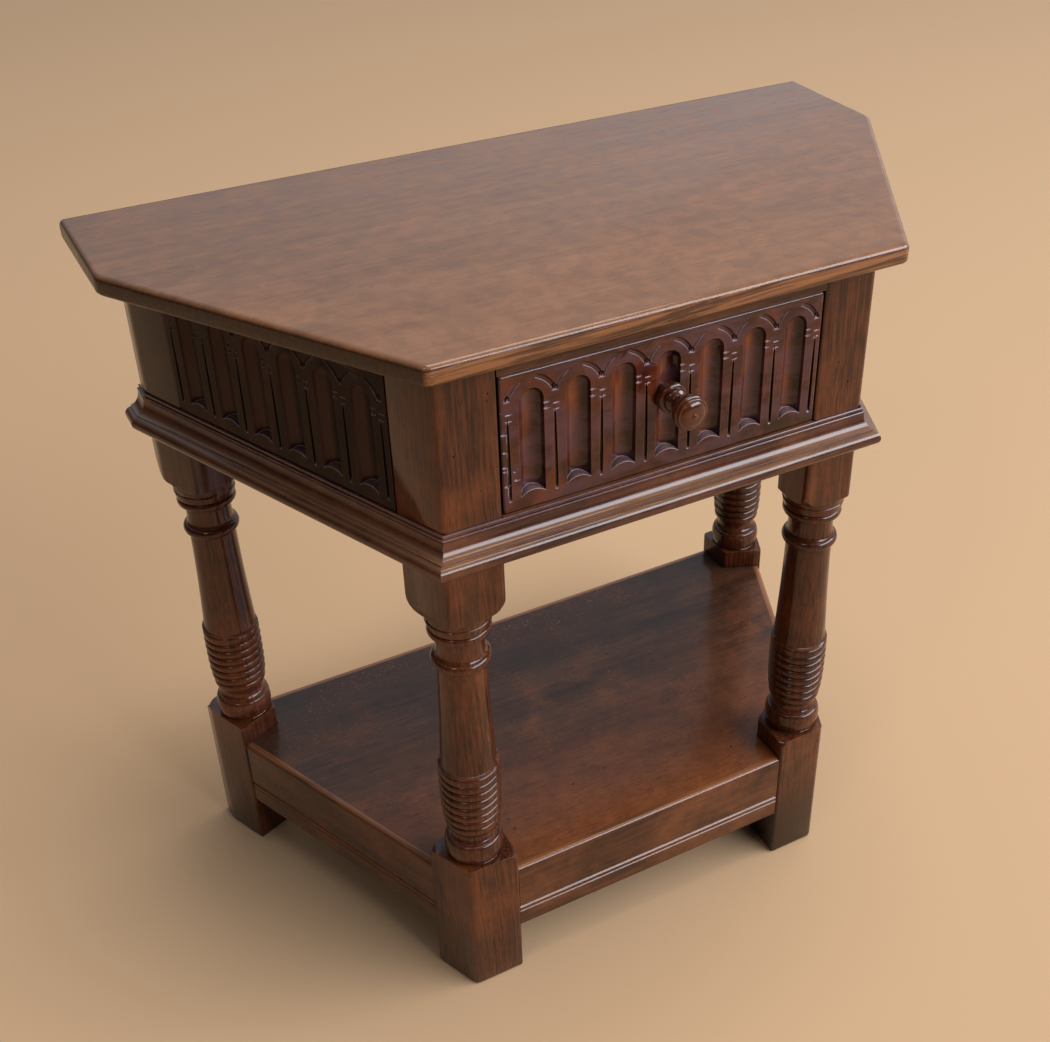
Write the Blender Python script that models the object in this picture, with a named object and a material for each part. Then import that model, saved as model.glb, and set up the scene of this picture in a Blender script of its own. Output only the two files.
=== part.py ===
"""Oak credence side table: a canted top on four turned legs, one carved drawer and a low shelf.

The plan is a shallow trapezium. A straight front runs between two canted sides to a wide back.
Metres, +Z up, the front faces -Y, and the origin lies on the floor under the middle of the table.
"""

import math
from dataclasses import dataclass

import bmesh
import bpy
from mathutils import Matrix, Vector

# Clearances and shared cutting values
SEAT_GAP = 0.0003
JOINT_CLEARANCE = 0.0003
OVERRUN = 0.010
LATHE_STEPS = 20
SMALL_ROUND_STEPS = 2
SHARP_DEGREES = 50.0

# Overall height and the plan of the frame
HEIGHT = 0.720
FRAME_DEPTH = 0.363
FRAME_FRONT_HALF_WIDTH = 0.206
FRAME_BACK_HALF_WIDTH = 0.3515
FRAME_SHORT_SIDE = 0.020

# Table top
TOP_THICKNESS = 0.018
TOP_FRONT_OVERHANG = 0.023
TOP_BACK_OVERHANG = 0.017
TOP_SIDE_OVERHANG = 0.0375
TOP_FRONT_CORNER_OVERHANG = 0.0135
TOP_SHORT_SIDE = 0.1325
TOP_UPPER_ROUND = 0.005
TOP_UPPER_ROUND_STEPS = 3
TOP_LOWER_ROUND = 0.003
TOP_CORNER_RADIUS = 0.005

# Frieze and drawer opening, from the top downwards
DRAWER_HEAD_THICKNESS = 0.0182
DRAWER_OPENING = 0.128
DRAWER_SEAT_THICKNESS = 0.032
FRIEZE_THICKNESS = 0.020
DRAWER_RAIL_DEPTH = 0.045

# Lower rails and shelf
SHELF_LEVEL = 0.1405
SHELF_THICKNESS = 0.0150
LOWER_RAIL_HEIGHT = 0.0805
LOWER_RAIL_THICKNESS = 0.022
LOWER_RAIL_SETBACK = 0.0015
LOWER_RAIL_NOSE = 0.0040
LOWER_RAIL_NOSE_STEPS = 3
LOWER_RAIL_LIP = 0.0075
LOWER_GROOVE_RISE = 0.0225
LOWER_GROOVE_PITCH = 0.0065
LOWER_GROOVE_WIDTH = 0.0022
LOWER_GROOVE_DEPTH = 0.0013

# Blanks of the posts
FRONT_POST_FACE = 0.052
FRONT_POST_DEPTH = 0.045
BACK_POST_FACE = 0.050
BACK_POST_WIDTH = 0.062
FRONT_AXIS_INSET = 0.030
BACK_AXIS_INSET = 0.0290
POST_ARRIS = 0.0015
FOOT_ROUND = 0.003

# Turned part of the posts: heights of its members, from the upper block downwards, and radii
BLOCK_CLEAR_RADIUS = 0.075
UPPER_BLOCK_DROP = 0.0495
UPPER_BLOCK_RADIUS = 0.047
OVOLO_HEIGHT = 0.019
OVOLO_STEPS = 3
COLLAR_HEIGHT = 0.008
COLLAR_RADIUS = 0.029
RING_QUIRK = 0.0015
RING_FOOT_RADIUS = 0.0262
UPPER_RING_HEIGHT = 0.010
UPPER_RING_RADIUS = 0.0283
LOWER_RING_HEIGHT = 0.009
LOWER_RING_RADIUS = 0.0272
BEAD_STEPS = 4
NECK_FILLET_HEIGHT = 0.004
NECK_FILLET_RADIUS = 0.0242
NECK_HEIGHT = 0.011
NECK_RADIUS = 0.0217
ASTRAGAL_HEIGHT = 0.012
ASTRAGAL_RADIUS = 0.0268
COLUMN_TOP_RADIUS = 0.0222
COLUMN_MIDDLE_RADIUS = 0.0236
COLUMN_FOOT_RADIUS = 0.0262
BAND_BEVEL = 0.0015
BAND_HEIGHT = 0.0107
BAND_RADIUS = 0.0283
REED_COUNT = 7
REED_PITCH = 0.0094
REED_RADIUS = 0.0289
REED_TAPER = 0.0034
REED_TAPER_POWER = 4
REED_DEPTH = 0.0023
REED_FLAT_SHARE = 0.40
CAVETTO_HEIGHT = 0.012
CAVETTO_TOP_RADIUS = 0.0236
CAVETTO_RADIUS = 0.0214
CAVETTO_WAIST_SHARE = 0.58
BASE_FILLET_HEIGHT = 0.003
BASE_FILLET_RADIUS = 0.0240
TORUS_HEIGHT = 0.0223
TORUS_RADIUS = 0.0282
TORUS_FOOT_RADIUS = 0.0245
TORUS_SEAT = 0.0012
LOWER_BLOCK_RISE = 0.0255
LOWER_BLOCK_FALL = 0.0015

# Mortise and tenon joints, and the dovetails of the rail over the drawer
TENON_SETBACK = 0.008
TENON_THICKNESS = 0.009
TENON_LENGTH = 0.020
TENON_SHOULDER = 0.010
SHELF_TENON_SHOULDER = 0.004
LAP_TAIL_SETBACK = 0.011
LAP_TAIL_ROOT = 0.014
LAP_TAIL_END = 0.020

# Moulding round the frieze: drops below its top edge and projections from the frieze
MOULDING_UPPER_FILLET = 0.0020
MOULDING_UPPER_DROP = 0.0022
MOULDING_QUIRK = 0.0008
MOULDING_LOWER_FILLET = 0.0036
MOULDING_LOWER_DROP = 0.0050
HOLLOW_REACH = 0.0125
HOLLOW_DROP = 0.0190
HOLLOW_STEPS = 5
NOSE_QUIRK_DEPTH = 0.0010
NOSE_RADIUS = 0.0068
NOSE_REACH = 0.0189
NOSE_CENTRE_DROP = 0.0275
NOSE_START_DEGREES = 80.0
NOSE_STEPS = 7

# Arcade carving: levels run up from the drawer seat or down from the drawer head
ARCADE_LEAST_PITCH = 0.0415
DRAWER_ARCADE_MARGIN = 0.0065
PANEL_ARCADE_MARGIN = 0.0070
PANEL_ARCADE_DROP = 0.0025
FLUTE_WIDTH = 0.0222
FLUTE_DEPTH = 0.0050
FLUTE_SPRING_DROP = 0.0280
FLUTE_FOOT_RISE = 0.0135
FLUTE_FOOT_CROWN = 0.0070
FLUTE_SECTION_STEPS = 6
FLUTE_HEAD_STEPS = 2
FLUTE_HEAD_DEGREES = 78.0
ARCH_RADIUS = 0.0202
ARCH_LINE_WIDTH = 0.0016
ARCH_LINE_DEPTH = 0.0010
ARCH_START_DEGREES = 18.0
ARCH_STEPS = 6
GROOVE_HEAD_DROP = 0.0385
GROOVE_FOOT_RISE = 0.0120
GROOVE_WIDTH = 0.0026
GROOVE_DEPTH = 0.0025
GROOVE_WIDEST_SHARE = 0.30

# Drawer
DRAWER_SIDE_GAP = 0.0012
DRAWER_TOP_GAP = 0.0010
DRAWER_SEAT_GAP = 0.0010
DRAWER_BACK_SPACE = 0.043
DRAWER_FRONT_THICKNESS = 0.020
DRAWER_FRONT_ROUND = 0.0025
DRAWER_SIDE_THICKNESS = 0.009
DRAWER_BACK_THICKNESS = 0.009
DRAWER_KICK_GAP = 0.0020
DRAWER_BACK_DROP = 0.008
DRAWER_BOTTOM_THICKNESS = 0.006
DRAWER_BOTTOM_RISE = 0.008
DRAWER_GROOVE_DEPTH = 0.005
FRONT_LAP = 0.006
TAIL_COUNT = 3
PIN_NARROW = 0.006
PIN_WIDE = 0.012

# Knob: distances from the drawer's face and radii
KNOB_RISE = 0.0695
KNOB_REACH = 0.0420
KNOB_SPIGOT_RADIUS = 0.0065
KNOB_COLLAR_RADIUS = 0.0125
KNOB_COLLAR_END = 0.0030
KNOB_RING_RADIUS = 0.0135
KNOB_RING_END = 0.0085
KNOB_STEP_RADIUS = 0.0108
KNOB_STEP_END = 0.0120
KNOB_NECK_RADIUS = 0.0070
KNOB_NECK_START = 0.0165
KNOB_NECK_END = 0.0205
KNOB_HEAD_RADIUS = 0.0155
KNOB_HEAD_WIDEST = 0.0315
KNOB_RIM_RADIUS = 0.0140
KNOB_RIM_START = 0.0360
KNOB_FACE_RADIUS = 0.0118
KNOB_FACE_START = 0.0385

# Drawer runners, guides, kickers and stops
RUNNER_TREAD = 0.028
RUNNER_HEIGHT = 0.026
RUNNER_POST_GAP = 0.0015
GUIDE_WIDTH = 0.016
GUIDE_HEIGHT = 0.016
KICKER_WIDTH = 0.018
STOP_WIDTH = 0.024
STOP_DEPTH = 0.016
STOP_HEIGHT = 0.006
STOP_PLACE_SHARE = 0.58

# Blocks glued in the angle under the top
BLOCK_LENGTH = 0.050
BLOCK_SIZE = 0.022
BLOCK_CHAMFER = 0.006
PANEL_BLOCK_SHARES = (0.32, 0.72)
BACK_BLOCK_SHARE = 0.45

# Levels that follow from the sizes above
TOP_UNDERSIDE = HEIGHT - TOP_THICKNESS
FRAME_TOP = TOP_UNDERSIDE - SEAT_GAP
DRAWER_HEAD = FRAME_TOP - DRAWER_HEAD_THICKNESS
DRAWER_SEAT = DRAWER_HEAD - DRAWER_OPENING
FRIEZE_BOTTOM = DRAWER_SEAT - DRAWER_SEAT_THICKNESS
LOWER_RAIL_BOTTOM = SHELF_LEVEL - LOWER_RAIL_HEIGHT
SHELF_REBATE = SHELF_LEVEL - SHELF_THICKNESS
LOWER_BLOCK_TOP = SHELF_LEVEL + LOWER_BLOCK_RISE

# Places in plan that follow from the sizes above
TOTAL_DEPTH = TOP_BACK_OVERHANG + FRAME_DEPTH + KNOB_REACH
FRAME_BACK = TOTAL_DEPTH / 2 - TOP_BACK_OVERHANG
FRAME_FRONT = FRAME_BACK - FRAME_DEPTH
FRAME_SHOULDER = FRAME_BACK - FRAME_SHORT_SIDE
POST_INNER = FRAME_FRONT_HALF_WIDTH - FRONT_POST_FACE
DRAWER_RAIL_BACK = FRAME_FRONT + DRAWER_RAIL_DEPTH
BACK_WALL = FRAME_BACK - FRIEZE_THICKNESS - SEAT_GAP

# The drawer in its own axes: X centre, Y from its front face backwards, Z from its lower edge
DRAWER_LEVEL = DRAWER_SEAT + DRAWER_SEAT_GAP
DRAWER_LENGTH = FRAME_DEPTH - FRIEZE_THICKNESS - DRAWER_BACK_SPACE
DRAWER_HALF_WIDTH = POST_INNER - DRAWER_SIDE_GAP
DRAWER_FRONT_HEIGHT = DRAWER_OPENING - DRAWER_SEAT_GAP - DRAWER_TOP_GAP
DRAWER_SIDE_INNER = DRAWER_HALF_WIDTH - DRAWER_SIDE_THICKNESS
DRAWER_SIDE_LOW = SEAT_GAP - DRAWER_SEAT_GAP
DRAWER_SIDE_HIGH = DRAWER_OPENING - DRAWER_SEAT_GAP - DRAWER_KICK_GAP
DRAWER_FRONT_BACK = DRAWER_FRONT_THICKNESS + SEAT_GAP
DRAWER_BACK_FACE = DRAWER_LENGTH - DRAWER_BACK_THICKNESS
DRAWER_BOTTOM_TOP = DRAWER_BOTTOM_RISE + DRAWER_BOTTOM_THICKNESS
DRAWER_BACK_LOW = DRAWER_BOTTOM_TOP + SEAT_GAP
DRAWER_BACK_HIGH = DRAWER_SIDE_HIGH - DRAWER_BACK_DROP

# Colours
DARK_OAK = (0.085, 0.030, 0.016)
WORN_OAK = (0.120, 0.048, 0.024)
SHELF_OAK = (0.060, 0.024, 0.014)
PLAIN_OAK = (0.200, 0.110, 0.060)
OAK_ROUGHNESS = 0.38

# Turns a section drawn as (y, z) so that its extrusion runs along X
ALONG_X = Matrix(((0, 0, 1), (1, 0, 0), (0, 1, 0))).to_4x4()


@dataclass(frozen=True)
class Side:
    """One straight side of the frame's plan, walked anticlockwise.

    Its own X runs along the side, its own Y points into the table and Z is up.
    """

    start: Vector
    end: Vector
    turn_start: float = 0.0
    turn_end: float = 0.0

    @property
    def length(self):
        return (self.end - self.start).length

    @property
    def angle(self):
        along = self.end - self.start
        return math.atan2(along.y, along.x)

    @property
    def matrix(self):
        return Matrix.Translation(self.start.to_3d()) @ Matrix.Rotation(self.angle, 4, "Z")

    def point(self, along, inward):
        """Plan point at a distance along the side and a distance into the table."""
        return (self.matrix @ Vector((along, inward, 0.0))).to_2d()


def frame_sides():
    """The six sides of the frame, each with the angles that it turns through at its ends."""
    corners = {
        "left": Vector((-FRAME_BACK_HALF_WIDTH, FRAME_SHOULDER)),
        "front": Vector((-FRAME_FRONT_HALF_WIDTH, FRAME_FRONT)),
        "right": Vector((FRAME_FRONT_HALF_WIDTH, FRAME_FRONT)),
        "short_right": Vector((FRAME_BACK_HALF_WIDTH, FRAME_SHOULDER)),
        "back": Vector((FRAME_BACK_HALF_WIDTH, FRAME_BACK)),
        "short_left": Vector((-FRAME_BACK_HALF_WIDTH, FRAME_BACK)),
    }
    names = list(corners)
    following = names[1:] + names[:1]
    plain = [Side(corners[name], corners[after]) for name, after in zip(names, following)]
    sides = {}
    for i, name in enumerate(names):
        side = plain[i]
        turn_start = (side.angle - plain[i - 1].angle) % math.tau
        turn_end = (plain[(i + 1) % len(plain)].angle - side.angle) % math.tau
        sides[name] = Side(side.start, side.end, turn_start, turn_end)
    return sides


SIDES = frame_sides()


# Shared modelling helpers
def clear_scene():
    for item in list(bpy.data.objects):
        bpy.data.objects.remove(item, do_unlink=True)


def oak(name, colour):
    """A Principled material for one piece."""
    material = bpy.data.materials.new(name + "_oak")
    material.use_nodes = True
    shader = material.node_tree.nodes["Principled BSDF"]
    shader.inputs["Base Color"].default_value = (*colour, 1.0)
    shader.inputs["Roughness"].default_value = OAK_ROUGHNESS
    shader.inputs["Metallic"].default_value = 0.0
    return material


def add_object(name, bm, colour=None, matrix=None, parent=None):
    """Turn a bmesh into a named object. Without a colour it is a hidden cutter."""
    bmesh.ops.recalc_face_normals(bm, faces=bm.faces)
    mesh = bpy.data.meshes.new(name)
    bm.to_mesh(mesh)
    bm.free()
    item = bpy.data.objects.new(name, mesh)
    bpy.context.scene.collection.objects.link(item)
    item.parent = parent
    if matrix is not None:
        item.location = matrix.to_translation()
        item.rotation_euler = matrix.to_euler()
    if colour is None:
        item.hide_render = True
        item.display_type = "WIRE"
    else:
        mesh.materials.append(oak(name, colour))
    return item


def cut(item, cutter, operation="DIFFERENCE"):
    """Leave a live Boolean on the piece."""
    modifier = item.modifiers.new(operation.title() + " " + cutter.name, "BOOLEAN")
    modifier.operation = operation
    modifier.solver = "EXACT"
    modifier.object = cutter


def add_prism(bm, outline, low, high, matrix=None):
    """Extrude a plan outline, a list of (x, y), from one height to another."""
    matrix = matrix or Matrix.Identity(4)
    ring = [bm.verts.new(matrix @ Vector((x, y, low))) for x, y in outline]
    base = bm.faces.new(ring)
    made = bmesh.ops.extrude_face_region(bm, geom=[base])
    lifted = [v for v in made["geom"] if isinstance(v, bmesh.types.BMVert)]
    rise = matrix.to_3x3() @ Vector((0.0, 0.0, high - low))
    bmesh.ops.translate(bm, verts=lifted, vec=rise)


def add_bar(bm, section, start, end):
    """Extrude a section, a list of (y, z), along X from start to end."""
    add_prism(bm, section, start, end, ALONG_X)


def add_box(bm, low, high, matrix=None):
    """Box between two corners, through an optional placement matrix."""
    outline = [(low[0], low[1]), (high[0], low[1]), (high[0], high[1]), (low[0], high[1])]
    add_prism(bm, outline, low[2], high[2], matrix)


def add_skin(bm, rings):
    """Close a row of like rings of points into one body, with a cap on each end."""
    made = [[bm.verts.new(point) for point in ring] for ring in rings]
    count = len(made[0])
    for near, far in zip(made, made[1:]):
        for i in range(count):
            j = (i + 1) % count
            bm.faces.new((near[i], near[j], far[j], far[i]))
    bm.faces.new(list(reversed(made[0])))
    bm.faces.new(made[-1])


def bevel(bm, edges, width, segments=1):
    bmesh.ops.bevel(bm, geom=list(edges), offset=width, segments=segments, profile=0.5, affect="EDGES")


def edges_where(bm, test):
    """Edges whose two ends both pass a test on their coordinates."""
    return [edge for edge in bm.edges if all(test(vert.co) for vert in edge.verts)]


def arc(centre, radius, start_degrees, end_degrees, steps):
    """Points of an arc in a plane, end points included."""
    points = []
    for step in range(steps + 1):
        angle = math.radians(start_degrees + (end_degrees - start_degrees) * step / steps)
        points.append((centre[0] + radius * math.cos(angle), centre[1] + radius * math.sin(angle)))
    return points


def turned(profile):
    """Spin a profile of (radius, height) about Z, running down its outer side."""
    bm = bmesh.new()
    verts = [bm.verts.new((radius, 0.0, height)) for radius, height in profile]
    for above, below in zip(verts, verts[1:]):
        bm.edges.new((above, below))
    bmesh.ops.spin(
        bm,
        geom=bm.verts[:] + bm.edges[:],
        cent=(0.0, 0.0, 0.0),
        axis=(0.0, 0.0, 1.0),
        angle=math.tau,
        steps=LATHE_STEPS,
        use_duplicate=False,
    )
    bmesh.ops.remove_doubles(bm, verts=bm.verts, dist=SEAT_GAP / 10)
    return bm


def shade_round(item):
    """Smooth the turned faces and keep the crisp arrises."""
    item.data.shade_smooth()
    item.data.set_sharp_from_angle(angle=math.radians(SHARP_DEGREES))


def rounded_outline(corners, radius):
    """Round the corners of a convex plan outline with short arcs."""
    points = []
    count = len(corners)
    for i, corner in enumerate(corners):
        before = (corners[i - 1] - corner).normalized()
        after = (corners[(i + 1) % count] - corner).normalized()
        half = before.angle(after) / 2
        centre = corner + (before + after).normalized() * (radius / math.sin(half))
        start = corner + before * (radius / math.tan(half)) - centre
        sweep = math.pi - 2 * half
        for step in range(SMALL_ROUND_STEPS + 1):
            turn = Matrix.Rotation(sweep * step / SMALL_ROUND_STEPS, 2)
            points.append(tuple(centre + turn @ start))
    return points


def grown(plan, margin):
    """Offset a convex anticlockwise outline outwards."""
    points = []
    count = len(plan)
    for i, corner in enumerate(plan):
        before = (corner - plan[i - 1]).normalized()
        after = (plan[(i + 1) % count] - corner).normalized()
        out_before = Vector((before.y, -before.x))
        out_after = Vector((after.y, -after.x))
        shift = (out_before + out_after) * margin / (1.0 + out_before.dot(out_after))
        points.append(tuple(corner + shift))
    return points


# Table top
def top_corners():
    """Plan of the top. Its canted edges run out further than the frame's."""
    front = FRAME_FRONT - TOP_FRONT_OVERHANG
    back = FRAME_BACK + TOP_BACK_OVERHANG
    half_front = FRAME_FRONT_HALF_WIDTH + TOP_FRONT_CORNER_OVERHANG
    half_back = FRAME_BACK_HALF_WIDTH + TOP_SIDE_OVERHANG
    shoulder = back - TOP_SHORT_SIDE
    return [
        Vector((-half_back, shoulder)),
        Vector((-half_front, front)),
        Vector((half_front, front)),
        Vector((half_back, shoulder)),
        Vector((half_back, back)),
        Vector((-half_back, back)),
    ]


def make_table_top():
    bm = bmesh.new()
    add_prism(bm, rounded_outline(top_corners(), TOP_CORNER_RADIUS), TOP_UNDERSIDE, HEIGHT)
    middle = TOP_UNDERSIDE + TOP_THICKNESS / 2
    bevel(bm, edges_where(bm, lambda co: co.z > middle), TOP_UPPER_ROUND, TOP_UPPER_ROUND_STEPS)
    just_above = TOP_UNDERSIDE + TOP_LOWER_ROUND / 2
    bevel(bm, edges_where(bm, lambda co: co.z < just_above), TOP_LOWER_ROUND, SMALL_ROUND_STEPS)
    add_object("table_top", bm, WORN_OAK)


# Turned profile of the posts, as (radius, height) points running down
def bead(top, height, foot_radius, crest_radius):
    """Half-round ring below a level. Its first point is left to the member above it."""
    points = []
    for step in range(1, BEAD_STEPS + 1):
        angle = math.pi * step / BEAD_STEPS
        radius = foot_radius + (crest_radius - foot_radius) * math.sin(angle)
        points.append((radius, top - height * (1.0 - math.cos(angle)) / 2))
    return points


def upper_turning():
    """Ovolo under the square block, collar, two rings, neck and astragal, down to the column."""
    level = FRIEZE_BOTTOM - UPPER_BLOCK_DROP
    points = []
    for step in range(OVOLO_STEPS + 1):
        angle = math.pi / 2 * step / OVOLO_STEPS
        radius = COLLAR_RADIUS + (UPPER_BLOCK_RADIUS - COLLAR_RADIUS) * math.cos(angle)
        points.append((radius, level - OVOLO_HEIGHT * math.sin(angle)))
    level -= OVOLO_HEIGHT + COLLAR_HEIGHT
    points.append((COLLAR_RADIUS, level))
    level -= RING_QUIRK
    points.append((RING_FOOT_RADIUS, level))
    points += bead(level, UPPER_RING_HEIGHT, RING_FOOT_RADIUS, UPPER_RING_RADIUS)
    level -= UPPER_RING_HEIGHT
    points += bead(level, LOWER_RING_HEIGHT, RING_FOOT_RADIUS, LOWER_RING_RADIUS)
    level -= LOWER_RING_HEIGHT
    points.append((NECK_FILLET_RADIUS, level))
    level -= NECK_FILLET_HEIGHT
    points.append((NECK_FILLET_RADIUS, level))
    points.append((NECK_RADIUS, level - NECK_HEIGHT / 2))
    level -= NECK_HEIGHT
    points.append((COLUMN_TOP_RADIUS, level))
    points += bead(level, ASTRAGAL_HEIGHT, COLUMN_TOP_RADIUS, ASTRAGAL_RADIUS)
    return points


def reeds(top):
    """The fine rings under the band, drawn in a little at the foot."""
    points = []
    for index in range(REED_COUNT):
        fall = (index + 0.5) / REED_COUNT
        crest = REED_RADIUS - REED_TAPER * fall**REED_TAPER_POWER
        groove = top - REED_PITCH * index
        middle = groove - REED_PITCH / 2
        flat = REED_PITCH * REED_FLAT_SHARE / 2
        points.append((crest - REED_DEPTH, groove))
        points.append((crest, middle + flat))
        points.append((crest, middle - flat))
    return points


def lower_turning():
    """Band, reeds, hollow, fillet and torus, down to the square block behind the rails."""
    torus_top = LOWER_BLOCK_TOP + TORUS_SEAT + TORUS_HEIGHT
    hollow_foot = torus_top + BASE_FILLET_HEIGHT
    reeds_foot = hollow_foot + CAVETTO_HEIGHT
    reeds_top = reeds_foot + REED_PITCH * REED_COUNT
    band_top = reeds_top + BAND_HEIGHT
    points = [
        (COLUMN_FOOT_RADIUS, band_top + BAND_BEVEL),
        (BAND_RADIUS, band_top),
        (BAND_RADIUS, reeds_top + REED_DEPTH / 2),
    ]
    points += reeds(reeds_top)
    points += [
        (CAVETTO_TOP_RADIUS, reeds_foot),
        (CAVETTO_RADIUS, reeds_foot - CAVETTO_HEIGHT * CAVETTO_WAIST_SHARE),
        (BASE_FILLET_RADIUS, hollow_foot),
        (BASE_FILLET_RADIUS, torus_top),
    ]
    points += bead(torus_top, TORUS_HEIGHT, TORUS_FOOT_RADIUS, TORUS_RADIUS)
    points += [
        (TORUS_FOOT_RADIUS, LOWER_BLOCK_TOP),
        (BLOCK_CLEAR_RADIUS, LOWER_BLOCK_TOP - LOWER_BLOCK_FALL),
    ]
    return points


def post_profile():
    """The whole turning from the top of the post to the floor. Square parts stay inside it."""
    upper = upper_turning()
    lower = lower_turning()
    middle = (COLUMN_MIDDLE_RADIUS, (upper[-1][1] + lower[0][1]) / 2)
    head = [
        (0.0, FRAME_TOP + OVERRUN),
        (BLOCK_CLEAR_RADIUS, FRAME_TOP + OVERRUN),
        (BLOCK_CLEAR_RADIUS, FRIEZE_BOTTOM - UPPER_BLOCK_DROP + LOWER_BLOCK_FALL),
    ]
    foot = [(BLOCK_CLEAR_RADIUS, -OVERRUN), (0.0, -OVERRUN)]
    return head + upper + [middle] + lower + foot


# Blanks of the posts in plan
def front_post_plan(left):
    """Five-sided blank at a front corner: outer faces on the two sides, inner faces square to them."""
    front = SIDES["front"]
    if left:
        canted = SIDES["left"]
        return [
            front.point(0.0, 0.0),
            front.point(FRONT_POST_FACE, 0.0),
            front.point(FRONT_POST_FACE, FRONT_POST_DEPTH),
            canted.point(canted.length - FRONT_POST_FACE, FRONT_POST_DEPTH),
            canted.point(canted.length - FRONT_POST_FACE, 0.0),
        ]
    canted = SIDES["right"]
    return [
        front.point(front.length, 0.0),
        canted.point(FRONT_POST_FACE, 0.0),
        canted.point(FRONT_POST_FACE, FRONT_POST_DEPTH),
        front.point(front.length - FRONT_POST_FACE, FRONT_POST_DEPTH),
        front.point(front.length - FRONT_POST_FACE, 0.0),
    ]


def back_post_plan(left):
    """Five-sided blank at a back corner, between the canted side and the back."""
    canted = SIDES["left"]
    edge = canted.point(BACK_POST_FACE, 0.0)
    inner_x = -FRAME_BACK_HALF_WIDTH + BACK_POST_WIDTH
    inward = Vector((-math.sin(canted.angle), math.cos(canted.angle)))
    reach = (inner_x - edge.x) / inward.x
    plan = [
        canted.start.copy(),
        edge,
        edge + inward * reach,
        Vector((inner_x, FRAME_BACK)),
        Vector((-FRAME_BACK_HALF_WIDTH, FRAME_BACK)),
    ]
    if not left:
        plan = [Vector((-point.x, point.y)) for point in reversed(plan)]
    return plan


def turning_axis(first, second, inset):
    """Plan point at the same distance inside two sides, where the lathe centres sit."""
    a = first.point(0.0, inset)
    b = second.point(0.0, inset)
    along_a = (first.end - first.start).normalized()
    along_b = (second.end - second.start).normalized()
    share = (b - a).cross(along_b) / along_a.cross(along_b)
    return a + along_a * share


# Boards between the posts
@dataclass(frozen=True)
class Board:
    """A rail or board between two posts, in the axes of its side of the frame."""

    side: Side
    start: float
    end: float
    low: float
    high: float
    setback: float = 0.0
    upper_shoulder: float = TENON_SHOULDER

    @property
    def matrix(self):
        return self.side.matrix @ Matrix.Translation((self.start, self.setback, 0.0))

    @property
    def length(self):
        return self.end - self.start

    def add_tenon(self, bm, at_end, clearance=0.0):
        """Add one tenon or, with a clearance, the mortise that takes it. World axes."""
        reach = TENON_LENGTH + clearance
        span = (self.length - OVERRUN, self.length + reach) if at_end else (-reach, OVERRUN)
        low = (span[0], TENON_SETBACK - clearance, self.low + TENON_SHOULDER - clearance)
        high_y = TENON_SETBACK + TENON_THICKNESS + clearance
        high = (span[1], high_y, self.high - self.upper_shoulder + clearance)
        add_box(bm, low, high, self.matrix)


def find_boards():
    """Every board that is tenoned into the posts."""
    front, left, right, back = (SIDES[name] for name in ("front", "left", "right", "back"))
    front_edge = FRONT_POST_FACE + SEAT_GAP
    canted_edge = BACK_POST_FACE + SEAT_GAP
    back_edge = BACK_POST_WIDTH + SEAT_GAP
    spans = {
        "left": (left, canted_edge, left.length - front_edge),
        "right": (right, front_edge, right.length - canted_edge),
        "back": (back, back_edge, back.length - back_edge),
        "front": (front, front_edge, front.length - front_edge),
    }
    ledge = SHELF_THICKNESS + SHELF_TENON_SHOULDER
    found = {"drawer_seat": Board(*spans["front"], FRIEZE_BOTTOM, DRAWER_SEAT)}
    for where, span in spans.items():
        name = "lower_rail_" + where
        found[name] = Board(*span, LOWER_RAIL_BOTTOM, SHELF_LEVEL, LOWER_RAIL_SETBACK, ledge)
        if where != "front":
            found["frieze_" + where] = Board(*span, FRIEZE_BOTTOM, FRAME_TOP)
    return found


BOARDS = find_boards()


# Posts
def joints_of(left, at_front):
    """Names of the boards that meet one post, each with True where the board's far end does."""
    canted = "left" if left else "right"
    far_end = left == at_front
    joints = [("frieze_" + canted, far_end), ("lower_rail_" + canted, far_end)]
    if at_front:
        return joints + [("drawer_seat", not left), ("lower_rail_front", not left)]
    return joints + [("frieze_back", left), ("lower_rail_back", left)]


def lap_tail(at_end, clearance=0.0):
    """Plan of the dovetail on one end of the rail over the drawer, in the front side's axes."""
    length = SIDES["front"].length
    edge = FRONT_POST_FACE + SEAT_GAP
    shoulder = length - edge if at_end else edge
    out = 1.0 if at_end else -1.0
    middle = LAP_TAIL_SETBACK + LAP_TAIL_END / 2
    root = LAP_TAIL_ROOT / 2 + clearance
    tip = LAP_TAIL_END / 2 + clearance
    tip_x = shoulder + out * (TENON_LENGTH + clearance)
    root_x = shoulder - out * OVERRUN
    return [
        (root_x, middle - root),
        (shoulder, middle - root),
        (tip_x, middle - tip),
        (tip_x, middle + tip),
        (shoulder, middle + root),
        (root_x, middle + root),
    ]


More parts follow.
